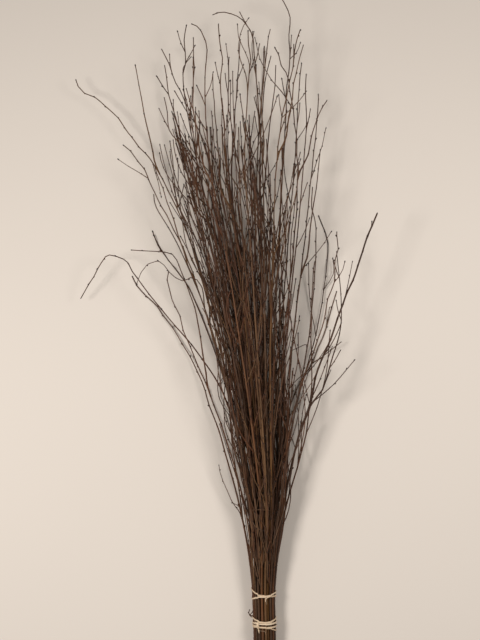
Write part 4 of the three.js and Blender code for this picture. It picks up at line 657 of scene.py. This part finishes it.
pieces_made = []
neck = -324.9
total_tips = 0
for i, row in enumerate(STEMS):
    rng = np.random.default_rng(1000 + i)
    b = Builder()
    tone = rng.uniform(0, 1)
    if i == DARKEST:
        tone = 0.28
    r0, r1 = row[0], row[1]
    path = stem_paths[i]
    r_of = linear(r0 * 0.94, max(r1 * 1.0, 0.78))
    spacing = lambda f: 62 - 34 * min(1, max(0, (f - 0.15) * 1.6))
    zig = lambda f: np.interp(f, [0, 0.22, 0.45, 1], [0.0, 0.05, 0.3, 0.5])
    if i in KINKED:
        spacing = lambda f: 50 - 28 * min(1, max(0, (f - 0.3) * 1.8))
        zig = lambda f: np.interp(f, [0, 0.45, 0.7, 1], [0.0, 0.1, 0.75, 0.85])
    p, s, nodes, signs, sway = shaped(path, r_of, rng, spacing, zig, 8, tone, lambda f: f * 0.9, b, 0.0, 0, cut=True)
    total_tips += 1
    lp = lengths(p)
    # fork
    lines = [(p, lp, r_of, nodes, signs, 0)]
    for j, par in enumerate(PARENTS):
        if par != i:
            continue
        br = BRANCHES[j]
        q = spline(route_of(br), 12.0)
        # grow the fork's root out of the parent stem
        d = np.linalg.norm(p - q[0], axis=1)
        back = max(0, int(d.argmin()))
        root_l = max(lp[back] - 22, 5)
        root = at_length(p, lp, root_l)
        mid = (root + q[1]) / 2 * 0.4 + 0.6 * (q[0] * 0.5 + at_length(p, lp, lp[back]) * 0.5)
        q = spline(np.vstack([root, mid, q[1:][::5], q[-1]]), 10.0)
        f_of = linear(max(br[0], 0.62 * float(r_of(np.array([root_l / lp[-1]]))[0])), max(br[1] * 0.9, 0.7))
        out = shaped(q, f_of, rng, lambda f: 25, lambda f: np.full(np.shape(f), 0.8 if i in KINKED else 0.5), 7, tone, lambda f: 0.5 + 0.45 * f, b, 500.0, 0, cap0=True)
        lines.append((out[0], lengths(out[0]), f_of, out[2], out[3], 1))
        total_tips += 1
    # thin strays lying over the front of the neck
    for nth, st in enumerate(STRAYS):
        if st[0] != i:
            continue
        pts = np.array(st[3:]).reshape(-1, 2)
        q = spline(np.column_stack([pts, np.zeros(len(pts))]), 8.0)
        z = np.array([on_top(x, y) for x, y in q[:, :2]])
        hit = z > 0.6 * np.array([z[max(k - 4, 0):k + 5].max() for k in range(len(z))])
        q[:, 2] = np.interp(np.arange(len(q)), np.flatnonzero(hit), z[hit]) + 0.75
        for _ in range(3):
            q[1:-1, 2] = np.maximum(q[1:-1, 2], 0.5 * (q[:-2, 2] + q[2:, 2]))
        q[0, 2] -= 3.5
        shaped(q, linear(st[1], st[2]), rng, lambda f: 34, lambda f: np.full(np.shape(f), 0.2), 6, 0.43 if 23 <= nth < 32 and nth % 3 else st_tone[nth % 6], lambda f: 0.36 + 0.3 * f, b, 1200.0, 1, first=14.0)
    # thin twigs that cross the others
    own = np.random.default_rng(5000 + i)
    for _ in range(0 if i in (8, 9, 10, 11, 13) else 2):
        y0 = own.uniform(-90, 330)
        side = own.choice([-1.0, 1.0])
        if y0 > p[-1, 1] - 60:
            continue
        s0 = float(np.interp(y0, p[:, 1], lp))
        a0 = at_length(p, lp, s0)
        tt = at_length(p, lp, min(s0 + 8, lp[-1])) - at_length(p, lp, s0 - 8)
        if a0[2] < 35 or not inside(a0, 0.95):
            continue
        q = crossing_twig(own, a0, tt / np.linalg.norm(tt), side)
        if len(q) < 7:
            continue
        shaped(spline(q, 8.0), linear(own.uniform(0.85, 1.05), own.uniform(0.62, 0.75)), own, lambda f: 27, lambda f: np.full(np.shape(f), 0.3), 6, (tone + own.normal(0, 0.1)) % 1, lambda f: 0.55 + 0.4 * f, b, 1500.0 + 30 * _, 1, first=10.0)
        total_tips += 1
    # sprigs at the edges
    for sp in SPRIGS:
        if sp[0] != i:
            continue
        pts = np.array(sp[3:]).reshape(-1, 2)[::-1]
        d = np.hypot(p[:, 0] - pts[0, 0], p[:, 1] - pts[0, 1])
        k = int(d.argmin())
        z0 = p[k, 2]
        zz = np.clip(z0 + np.linspace(0, rng.uniform(-6, 8), len(pts)), 1.3, 122)
        q = np.column_stack([pts, zz])
        q[0] = p[k]
        q = spline(q, 7.0)
        f_of = linear(sp[1], sp[2])
        shaped(q, f_of, rng, lambda f: 22, lambda f: np.full(np.shape(f), 0.28), 6, tone, lambda f: 0.6 + 0.4 * f, b, 900.0, 1, first=8.0)
        total_tips += 1
    # long forks from the lower stem
    for q_ in range(1 + (i % 2)):
        s0 = np.interp(neck + (rng.uniform(-98, -30), rng.uniform(-30, 190))[q_], p[:, 1], lp)
        a0 = at_length(p, lp, s0)
        q = long_fork(rng, a0, None)
        if q is None or a0[1] > p[-1, 1] - 150:
            continue
        q = spline(q, 12.0)
        f_of = linear(min(0.8 * float(r_of(np.array([s0 / lp[-1]]))[0]), rng.uniform(1.15, 1.45)), rng.uniform(0.66, 0.82))
        out = shaped(q, f_of, rng, lambda f: 42 - 16 * f, lambda f: 0.05 + 0.3 * f, 6, (tone + rng.normal(0, 0.08)) % 1, lambda f: 0.2 + 0.75 * f, b, 700.0 + 40 * q_, 1)
        lines.append((out[0], lengths(out[0]), f_of, out[2], out[3], 2))
        total_tips += 1
    # fill twigs at the nodes
    for (lp_, ll, rf, nd, sg, lvl) in lines:
        k = 0
        todo = []
        count = 0
        for m, sn in enumerate(nd):
            c = at_length(lp_, ll, sn)
            if c[1] < neck or rng.uniform() > fill_at(c) * (0.62 if lvl == 2 else 1.0):
                continue
            free = not inside(c, 1.0)
            if free and (i not in (8, 9, 10, 11, 13) or rng.uniform() > 0.75 or c[1] > 250):
                continue
            left = ll[-1] - sn
            if left < 40:
                continue
            tt = at_length(lp_, ll, min(sn + 6, ll[-1])) - at_length(lp_, ll, max(sn - 6, 0))
            tt /= np.linalg.norm(tt)
            a = rng.uniform(0, 6.28)
            sd = np.cross(tt, [0, 0, 1.0])
            sd /= np.linalg.norm(sd)
            out = math.cos(a) * sd + 0.75 * math.sin(a) * np.cross(sd, tt)
            out /= np.linalg.norm(out)
            length = min(left * rng.uniform(0.35, 0.95), rng.uniform(90, 380))
            if free:
                length = min(length, rng.uniform(60, 200))
            q = fill_twig(rng, c, tt, out, length, rng.uniform(0.05, 0.11), free)
            if len(q) < 5 or q[:, 0].min() < cad_box[0][0] * 1000 or q[:, 0].max() > cad_box[1][0] * 1000:
                continue
            rr0 = min(0.68 * float(rf(np.array([sn / ll[-1]]))[0]), 0.75 + 0.0032 * length)
            f_of = linear(max(rr0, 0.85), rng.uniform(0.6, 0.78) * 1.1)
            out2 = shaped(spline(q, 9.0), f_of, rng, lambda f: 27, lambda f: np.full(np.shape(f), 0.3), 6, (tone + rng.normal(0, 0.06)) % 1, lambda f: 0.6 + 0.4 * f, b, 200.0 * m, 1)
            total_tips += 1
            # a finer twig on the longer ones
            if len(q) > 14 and rng.uniform() < 0.3:
                w = rng.integers(4, len(q) - 8)
                tt2 = q[w + 1] - q[w]
                tt2 /= np.linalg.norm(tt2)
                sd2 = np.cross(tt2, [0, 0, 1.0])
                sd2 /= np.linalg.norm(sd2)
                a = rng.uniform(0, 6.28)
                o2 = math.cos(a) * sd2 + 0.7 * math.sin(a) * np.cross(sd2, tt2)
                q2 = fill_twig(rng, q[w], tt2, o2, rng.uniform(50, 170), 0.08)
                if len(q2) >= 5:
                    shaped(spline(q2, 9.0), linear(0.82, 0.58), rng, lambda f: 24, lambda f: np.full(np.shape(f), 0.25), 5, tone, lambda f: 0.8 + 0.2 * f, b, 300.0 * m, 1)
                    total_tips += 1
    name = f"stem_{i + 1:02d}"
    pieces_made.append((b, name, [n for n in [name] + [f"branch_{j + 1:02d}" for j, par in enumerate(PARENTS) if par == i]]))
print("tips", total_tips, "faces", sum(len(x[0].f) for x in pieces_made))


# ---------------------------------------------------------------- ties

ROUTES = [route_of(r) for r in STEMS]
RADII = [r[1] + (r[0] - r[1]) * (1 - lengths(route_of(r)) / lengths(route_of(r))[-1]) ** TAPER_POWER for r in STEMS]


def sections_at(y):
    out = []
    for p, r in zip(ROUTES, RADII):
        if p[0, 1] <= y <= p[-1, 1]:
            i = max(int(np.searchsorted(p[:, 1], y)) - 1, 0)
            s = (y - p[i, 1]) / (p[i + 1, 1] - p[i, 1])
            out.append((*(p[i] + (p[i + 1] - p[i]) * s)[[0, 2]], r[i] + (r[i + 1] - r[i]) * s))
    return np.array(out)


def on_bundle(deg, y, lift):
    a = math.radians(deg)
    n = np.array([math.cos(a), math.sin(a)])
    c = sections_at(y)
    best = c[(c[:, :2] @ n + c[:, 2]).argmax()]
    q = best[:2] + n * (best[2] + lift)
    return np.array([q[0], y, q[1]]), np.array([n[0], 0, n[1]])


def ribbon(b, points, width, thick, tone, rng, closed, l0=0.0, kind=0):
    """A flat raffia strand: lengthwise folds across its width, a little twist and an uneven edge."""
    at = [on_bundle(*q) for q in points]
    p = np.array([a[0] for a in at])
    n = np.array([a[1] for a in at])
    # even out the line
    if closed:
        p = np.vstack([p[-3:], p, p[:3]])
        n = np.vstack([n[-3:], n, n[:3]])
    w = np.array([0.25, 0.5, 0.25])
    sm = np.stack([np.convolve(p[:, k], w, "same") for k in range(3)], 1)
    sm[0], sm[-1] = p[0], p[-1]
    # never deeper than the hull allows
    inward = ((sm - p) * n).sum(1)
    p = sm - n * np.minimum(inward, 0)[:, None]
    if closed:
        p, n = p[3:-3], n[3:-3]
        p, n = np.vstack([p, p[:1]]), np.vstack([n, n[:1]])
    m = len(p)
    t = np.gradient(p, axis=0)
    if closed:
        t[0] = t[-1] = p[1] - p[-2]
    t /= np.linalg.norm(t, axis=1)[:, None]
    nn = n - t * (n * t).sum(1)[:, None]
    nn /= np.linalg.norm(nn, axis=1)[:, None]
    bb = np.cross(nn, t)
    ph = rng.uniform(0, 6.28, 6)
    u = np.linspace(0, 2 * np.pi, m)
    wid = width * (1 + 0.13 * np.sin(2 * u + ph[0]) + 0.07 * np.sin(5 * u + ph[1]))
    if not closed:
        wid = wid * np.interp(np.linspace(0, 1, m), [0, 0.1, 0.75, 1], [0.85, 1, 0.8, 0.3])
    tw = 0.16 * np.sin(u + ph[2]) + 0.1 * np.sin(3 * u + ph[3])
    across = np.linspace(-1, 1, 9)
    fold = 0.30 * np.cos(across * 7.5 + ph[4]) + 0.16 * np.cos(across * 15 + ph[5])
    top = [(c, 0.5 + 0.5 * f * (1 - abs(c)) - 0.28 * c * c) for c, f in zip(across, fold)]
    low = [(c, -0.5 + 0.30 * c * c) for c in across[::-1]]
    ring = np.array(top + low)
    k = len(ring)
    ca, sa = np.cos(tw)[:, None], np.sin(tw)[:, None]
    x = ring[None, :, 0] * wid[:, None] / 2
    z = ring[None, :, 1] * thick
    zz = z * ca + x * sa * 0.5
    zz = np.maximum(zz, -thick * 0.5)
    v = p[:, None] + bb[:, None] * (x * ca)[..., None] + nn[:, None] * (zz + thick * 0.5)[..., None]
    l = lengths(p) + l0
    base = b.n
    b.v.append(v.reshape(-1, 3))
    b.grain.append(np.stack([np.repeat(l, k), np.tile(ring[:, 0], m) * width / 2, np.tile(ring[:, 1], m) * thick + rng.uniform(0, 9)], -1))
    b.tone.append(np.full(m * k, tone))
    b.age.append(np.repeat(np.linspace(0, 1, m), k))
    i = np.arange(m - 1)[:, None] * k
    q = np.arange(k)[None]
    q2 = (q + 1) % k
    quads = np.stack([base + i + q, base + i + k + q, base + i + k + q2, base + i + q2], -1).reshape(-1, 4)
    first = len(b.f)
    # the map's corner order wants the first two corners on one ring
    quads = quads[:, [0, 3, 2, 1]]
    b.f.extend(quads.tolist())
    b.smooth.extend([True] * len(quads))
    b.mat.extend([0] * len(quads))
    b.strips.append((first, m - 1, k, lengths(p), kind))
    b.n += m * k
    if not closed:
        for ringi in (0, m - 1):
            o = base + ringi * k
            f = [o + j for j in range(k)]
            b.f.append(f if ringi else f[::-1])
            b.smooth.append(False)
            b.mat.append(0)
            b.caps.append((len(b.f) - 1, 1))


def turn(right, top, left, below, over=(), steps=84, jitter=None, rng=None):
    keys = [right, top, left, below]
    pts = []
    for i in range(steps):
        deg = 360 * i / steps
        q = int(deg // 90)
        s = (deg - 90 * q) / 90
        e = s * s * (3 - 2 * s)
        y = keys[q] + (keys[(q + 1) % 4] - keys[q]) * (0.5 * s + 0.5 * e)
        lift = 0.0
        for at, high, wide in over:
            d = abs(((deg - at + 540) % 360) - 180) / wide
            lift = max(lift, high * max(0, 1 - d * d))
        if jitter is not None:
            y += jitter[0] * math.sin(math.radians(deg) * 2 + jitter[1]) + jitter[2] * math.sin(math.radians(deg) * 3 + jitter[3])
        pts.append((deg, y, lift))
    return pts


def raffia_fibre(b, points, r, tone, rng):
    p = np.array([on_bundle(*q)[0] for q in points])
    p = spline(p, 2.0)
    b.tube(p, np.linspace(r, r * 0.5, len(p)), 5, tone, np.linspace(0, 1, len(p)), kind=1)


def upper_tie():
    b = Builder()
    rng = np.random.default_rng(51)
    y = UPPER_TIE_Y
    G = 0.25
    ribbon(b, turn(y - 0.8, y + 2.0, y + 12.2, y + 4.5, jitter=(0.3, 1.0, 0.2, 2.0), over=[(0, G, 400)]), 2.5, 0.9, 0.45, rng, True)
    ribbon(b, turn(y + 6.6, y + 1.2, y - 6.4, y + 0.5, over=[(92, 1.2, 34), (292, 1.1, 34), (0, G, 400)], jitter=(0.3, 0.3, 0.2, 1.0)), 2.5, 0.9, 0.8, rng, True, l0=150)
    ribbon(b, [(64 + 2.7 * k, y + 2.2 - 1.3 * k, 1.7 - 0.17 * k) for k in range(9)], 1.9, 0.7, 0.6, rng, False, l0=420)
    ribbon(b, [(96 - 3.2 * k, y + 0.6 - 0.35 * k, 1.7 - 0.1 * k) for k in range(7)], 1.4, 0.6, 0.25, rng, False, l0=450)
    raffia_fibre(b, [(98 + 3 * k, y + 1.5 + 1.6 * k, 1.3 + 0.25 * k) for k in range(5)], 0.22, 0.8, rng)
    raffia_fibre(b, [(80 - 2 * k, y - 1 - 2.2 * k, 1.0 + 0.4 * k) for k in range(6)], 0.2, 0.6, rng)
    return b


def lower_tie():
    b = Builder()
    rng = np.random.default_rng(77)
    y = LOWER_TIE_Y
    G = 0.25
    over = [(0, G, 400)]
    ribbon(b, turn(y + 9.2, y + 3.9, y + 11.4, y + 8.0, over=over, jitter=(0.3, 1, 0.2, 2)), 2.5, 0.9, 0.6, rng, True)
    ribbon(b, turn(y + 1.9, y + 1.8, y + 1.0, y + 3.0, over=[(100, 0.9, 50)] + over, jitter=(0.3, 2, 0.2, 1)), 2.9, 1.0, 0.9, rng, True, l0=150)
    ribbon(b, turn(y - 4.7, y - 4.2, y - 4.9, y - 3.4, over=[(124, 0.8, 50)] + over, jitter=(0.3, 3, 0.2, 0)), 2.6, 1.0, 0.7, rng, True, l0=430)
    ribbon(b, turn(y - 12.8, y - 4.6, y - 1.8, y - 8.0, over=[(110, 1.2, 62), (240, 0.8, 40)] + over), 2.0, 0.8, 0.3, rng, True, l0=570)
    # the flat knot: two folded-over loops and a strand drawn through them
    for k, (d0, y0, w, sp) in enumerate([(106, 1.6, 3.1, 44), (108, -4.0, 3.1, 42), (114, -1.2, 2.7, 28)]):
        pts = [(d0 + sp * f, y + y0 + 1.5 * math.sin(3.0 * f + k), 1.3 + (1.3 + 0.35 * k) * math.sin(math.pi * f)) for f in np.linspace(0, 1, 13)]
        ribbon(b, pts, w, 1.25, (0.8, 0.55, 0.95)[k], rng, False, l0=700 + 60 * k)
    pts = [(121 + 5 * math.sin(4 * f), y + 4.5 - 11.5 * f, 1.7 + 1.4 * math.sin(math.pi * f)) for f in np.linspace(0, 1, 11)]
    ribbon(b, pts, 2.9, 1.1, 0.65, rng, False, l0=900)
    ribbon(b, [(119 - 1.9 * k, y - 3.6 - 1.35 * k, 2.0 - 0.2 * k) for k in range(9)], 2.3, 0.7, 0.4, rng, False, l0=950)
    raffia_fibre(b, [(128 + 3 * k, y + 3 + 1.4 * k, 1.4 + 0.3 * k) for k in range(5)], 0.22, 0.8, rng)
    raffia_fibre(b, [(108 - 3 * k, y - 8 - 1.5 * k, 1.0 + 0.3 * k) for k in range(6)], 0.2, 0.5, rng)
    return b


# ---------------------------------------------------------------- materials

def nodes_of(name):
    m = bpy.data.materials.new(name)
    m.use_nodes = True
    nt = m.node_tree
    nt.nodes.clear()
    out = nt.nodes.new("ShaderNodeOutputMaterial")
    bsdf = nt.nodes.new("ShaderNodeBsdfPrincipled")
    nt.links.new(bsdf.outputs[0], out.inputs[0])
    return m, nt, bsdf


def attr(nt, name):
    n = nt.nodes.new("ShaderNodeAttribute")
    n.attribute_name = name
    return n


def mapping(nt, vec, scale):
    n = nt.nodes.new("ShaderNodeVectorMath")
    n.operation = "MULTIPLY"
    nt.links.new(vec, n.inputs[0])
    n.inputs[1].default_value = scale
    return n.outputs[0]


def noise(nt, vec, scale, detail=4.0, rough=0.55):
    n = nt.nodes.new("ShaderNodeTexNoise")
    n.inputs["Scale"].default_value = scale
    n.inputs["Detail"].default_value = detail
    n.inputs["Roughness"].default_value = rough
    nt.links.new(vec, n.inputs["Vector"])
    return n.outputs["Fac"] if "Fac" in n.outputs else n.outputs[0]


def ramp(nt, fac, stops, mode="LINEAR"):
    n = nt.nodes.new("ShaderNodeValToRGB")
    n.color_ramp.interpolation = mode
    e = n.color_ramp.elements
    while len(e) < len(stops):
        e.new(0.5)
    for el, (pos, col) in zip(e, stops):
        el.position = pos
        el.color = (*col, 1) if len(col) == 3 else col
    nt.links.new(fac, n.inputs[0])
    return n.outputs[0]


def mix(nt, a, c, fac, kind="MIX"):
    n = nt.nodes.new("ShaderNodeMix")
    n.data_type = "RGBA"
    n.blend_type = kind
    for sock, val in ((n.inputs[6], a), (n.inputs[7], c), (n.inputs[0], fac)):
        if isinstance(val, (int, float)):
            sock.default_value = val
        elif isinstance(val, tuple):
            sock.default_value = (*val, 1)
        else:
            nt.links.new(val, sock)
    return n.outputs[2]


def math_node(nt, op, a, c=None, d=None, clamp=False):
    n = nt.nodes.new("ShaderNodeMath")
    n.operation = op
    n.use_clamp = clamp
    for sock, val in zip(n.inputs, (a, c, d)):
        if val is None:
            continue
        if isinstance(val, (int, float)):
            sock.default_value = val
        else:
            nt.links.new(val, sock)
    return n.outputs[0]


def bump(nt, bsdf, height, strength, distance):
    n = nt.nodes.new("ShaderNodeBump")
    n.inputs["Strength"].default_value = strength
    n.inputs["Distance"].default_value = distance
    nt.links.new(height, n.inputs["Height"])
    nt.links.new(n.outputs[0], bsdf.inputs["Normal"])


def srgb(*c):
    return tuple(((v / 255) / 12.92 if v <= 10 else ((v / 255 + 0.055) / 1.055) ** 2.4) for v in c)


def bark():
    m, nt, bsdf = nodes_of("birch_bark")
    grain, tone, age = attr(nt, "grain").outputs["Vector"], attr(nt, "tone").outputs["Fac"], attr(nt, "age").outputs["Fac"]
    # each stem has its own ground colour
    ground = ramp(nt, tone, [
        (0.0, srgb(77, 43, 22)), (0.14, srgb(94, 58, 30)), (0.28, srgb(57, 35, 19)), (0.42, srgb(93, 69, 50)),
        (0.56, srgb(104, 71, 33)), (0.70, srgb(69, 39, 20)), (0.84, srgb(106, 77, 49)), (1.0, srgb(95, 50, 23))])
    # the bark is darker and yellower towards the cut ends
    ground = mix(nt, ground, ramp(nt, age, [(0.0, (0.86, 0.80, 0.64)), (0.32, (1.0, 1.0, 1.0))]), 1.0, "MULTIPLY")
    # young tips are redder and darker
    young = mix(nt, ground, srgb(68, 37, 20), math_node(nt, "MULTIPLY", math_node(nt, "SUBTRACT", age, 0.35, clamp=True), 1.0, clamp=True))
    # the buds are darker still
    young = mix(nt, young, srgb(36, 20, 12), ramp(nt, math_node(nt, "SUBTRACT", age, 0.6, clamp=True), [(0.5, (0, 0, 0)), (0.7, (1, 1, 1))]))
    # slow patches along the stem
    slow = noise(nt, mapping(nt, grain, (14.0, 160.0, 160.0)), 1.0, 3.0)
    patch = mix(nt, young, ramp(nt, slow, [(0.3, (0.55, 0.52, 0.50)), (0.62, (1.25, 1.18, 1.10))]), 0.75, "MULTIPLY")
    # grain stretched along the stem
    fine = noise(nt, mapping(nt, grain, (90.0, 1500.0, 1500.0)), 1.0, 5.0, 0.65)
    streak = mix(nt, patch, ramp(nt, fine, [(0.32, (0.6, 0.58, 0.56)), (0.68, (1.3, 1.26, 1.2))]), 0.6, "MULTIPLY")
    # a greyish bloom on the older bark
    bloom = noise(nt, mapping(nt, grain, (45.0, 420.0, 420.0)), 1.0, 4.0)
    bloomed = mix(nt, streak, srgb(98, 74, 50), math_node(nt, "MULTIPLY", ramp(nt, bloom, [(0.50, (0, 0, 0)), (0.72, (1, 1, 1))]), math_node(nt, "SUBTRACT", 0.34, math_node(nt, "MULTIPLY", age, 0.22), clamp=True), clamp=True))
    # pale pores, wider round the stem than along it
    v = nt.nodes.new("ShaderNodeTexVoronoi")
    v.inputs["Scale"].default_value = 1.0
    nt.links.new(mapping(nt, grain, (260.0, 520.0, 520.0)), v.inputs["Vector"])
    pore = ramp(nt, v.outputs["Distance"], [(0.10, (1, 1, 1)), (0.20, (0, 0, 0))])
    dotted = mix(nt, bloomed, srgb(138, 110, 84), math_node(nt, "MULTIPLY", pore, 0.4))
    nt.links.new(dotted, bsdf.inputs["Base Color"])
    nt.links.new(math_node(nt, "ADD", math_node(nt, "MULTIPLY", fine, 0.3), 0.42, clamp=True), bsdf.inputs["Roughness"])
    h = math_node(nt, "ADD", math_node(nt, "MULTIPLY", fine, 1.0), math_node(nt, "MULTIPLY", pore, 0.6))
    bump(nt, bsdf, h, 0.55, 0.0004)
    bsdf.inputs["Specular IOR Level"].default_value = 0.3
    return m


def cut_wood():
    m, nt, bsdf = nodes_of("cut_wood")
    grain, tone = attr(nt, "grain").outputs["Vector"], attr(nt, "tone").outputs["Fac"]
    flat = mapping(nt, grain, (0.0, 1.0, 1.0))
    ln = nt.nodes.new("ShaderNodeVectorMath")
    ln.operation = "LENGTH"
    nt.links.new(flat, ln.inputs[0])
    rad = ln.outputs["Value"]
    rings = math_node(nt, "SINE", math_node(nt, "ADD", math_node(nt, "MULTIPLY", rad, 9500.0), math_node(nt, "MULTIPLY", noise(nt, flat, 700.0), 3.0)))
    wood = mix(nt, srgb(196, 160, 116), srgb(166, 126, 84), math_node(nt, "MULTIPLY_ADD", rings, 0.35, 0.4, clamp=True))
    pith = mix(nt, srgb(98, 66, 42), wood, ramp(nt, math_node(nt, "MULTIPLY", rad, 1000.0), [(0.30, (0, 0, 0)), (0.55, (1, 1, 1))]))
    aged = mix(nt, pith, srgb(112, 82, 58), math_node(nt, "MULTIPLY", noise(nt, grain, 900.0), 0.75))
    nt.links.new(aged, bsdf.inputs["Base Color"])
    nt.links.new(math_node(nt, "MULTIPLY_ADD", noise(nt, grain, 1500.0), 0.2, 0.65), bsdf.inputs["Roughness"])
    bump(nt, bsdf, noise(nt, flat, 2600.0), 0.5, 0.0003)
    return m


def raffia():
    m, nt, bsdf = nodes_of("raffia_strand")
    grain, tone, age = attr(nt, "grain").outputs["Vector"], attr(nt, "tone").outputs["Fac"], attr(nt, "age").outputs["Fac"]
    ground = ramp(nt, tone, [(0.0, srgb(196, 168, 138)), (0.5, srgb(216, 190, 160)), (1.0, srgb(228, 206, 180))])
    fine = noise(nt, mapping(nt, grain, (70.0, 2600.0, 2600.0)), 1.0, 5.0, 0.65)
    fibres = mix(nt, ground, ramp(nt, fine, [(0.30, (0.66, 0.60, 0.50)), (0.62, (1.12, 1.1, 1.06))]), 0.8, "MULTIPLY")
    slow = noise(nt, mapping(nt, grain, (55.0, 300.0, 300.0)), 1.0, 3.0)
    stained = mix(nt, fibres, srgb(166, 132, 94), math_node(nt, "MULTIPLY", ramp(nt, slow, [(0.5, (0, 0, 0)), (0.75, (1, 1, 1))]), 0.5))
    nt.links.new(stained, bsdf.inputs["Base Color"])
    nt.links.new(math_node(nt, "MULTIPLY_ADD", fine, 0.25, 0.5, clamp=True), bsdf.inputs["Roughness"])
    bump(nt, bsdf, fine, 0.7, 0.0004)
    bsdf.inputs["Sheen Weight"].default_value = 0.12
    return m


BARK, CUT, RAFFIA = bark(), cut_wood(), raffia()
for b, name, nodes in pieces_made:
    o = b.mesh("twig_" + name[-2:], [BARK, CUT])
    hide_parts(*nodes)
    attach(o, "root")
for make, name in ((upper_tie, "upper_tie"), (lower_tie, "lower_tie")):
    o = make().mesh("raffia_" + name, [RAFFIA])
    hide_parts(name)
    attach(o, "root")

# ---------------------------------------------------------------- floor, light, camera

def floor_material():
    m, nt, bsdf = nodes_of("pale_floor")
    co = nt.nodes.new("ShaderNodeTexCoord").outputs["Object"]
    slow = noise(nt, co, 0.9, 2.0)
    col = mix(nt, srgb(226, 214, 202), srgb(218, 206, 194), slow)
    nt.links.new(col, bsdf.inputs["Base Color"])
    bsdf.inputs["Roughness"].default_value = 0.85
    bsdf.inputs["Specular IOR Level"].default_value = 0.2
    bump(nt, bsdf, noise(nt, co, 260.0, 3.0), 0.08, 0.0005)
    return m


bpy.ops.mesh.primitive_plane_add(size=30, location=(0, 0, 0))
floor = bpy.context.object
floor.name = "floor"
floor.data.materials.append(floor_material())
floor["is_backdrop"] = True

world = bpy.data.worlds.new("studio")
world.use_nodes = True
world.node_tree.nodes["Background"].inputs[0].default_value = (*srgb(250, 249, 247), 1)
world.node_tree.nodes["Background"].inputs[1].default_value = 0.23
bpy.context.scene.world = world


def area(name, loc, target, size, power, colour):
    d = bpy.data.lights.new(name, "AREA")
    d.shape = "DISK"
    d.size = size
    d.energy = power
    d.color = colour
    o = bpy.data.objects.new(name, d)
    bpy.context.scene.collection.objects.link(o)
    o.location = loc
    o.rotation_mode = "QUATERNION"
    o.rotation_quaternion = (Vector(target) - Vector(loc)).to_track_quat("-Z", "Y")
    o.visible_camera = False
    o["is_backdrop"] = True
    return o


area("key", (-0.95, 0.05, 1.55), (0.5, -0.95, 0), 0.5, 23.0, (1.0, 0.995, 0.985))
area("fill", (0.95, 0.3, 1.5), (0.5, -0.95, 0), 0.65, 15.2, (1.0, 0.995, 0.985))

cam_data = bpy.data.cameras.new("camera")
cam_data.lens = 77.43
cam_data.sensor_width = 36
cam = bpy.data.objects.new("camera", cam_data)
bpy.context.scene.collection.objects.link(cam)
cam.location = (0.0262, 0.0321, 2.4)
cam.rotation_euler = (0, 0, 0)
cam_data.clip_end = 100
bpy.context.scene.camera = cam
bpy.context.scene.view_settings.view_transform = "Standard"
bpy.context.scene.view_settings.look = "None"

lo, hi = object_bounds()
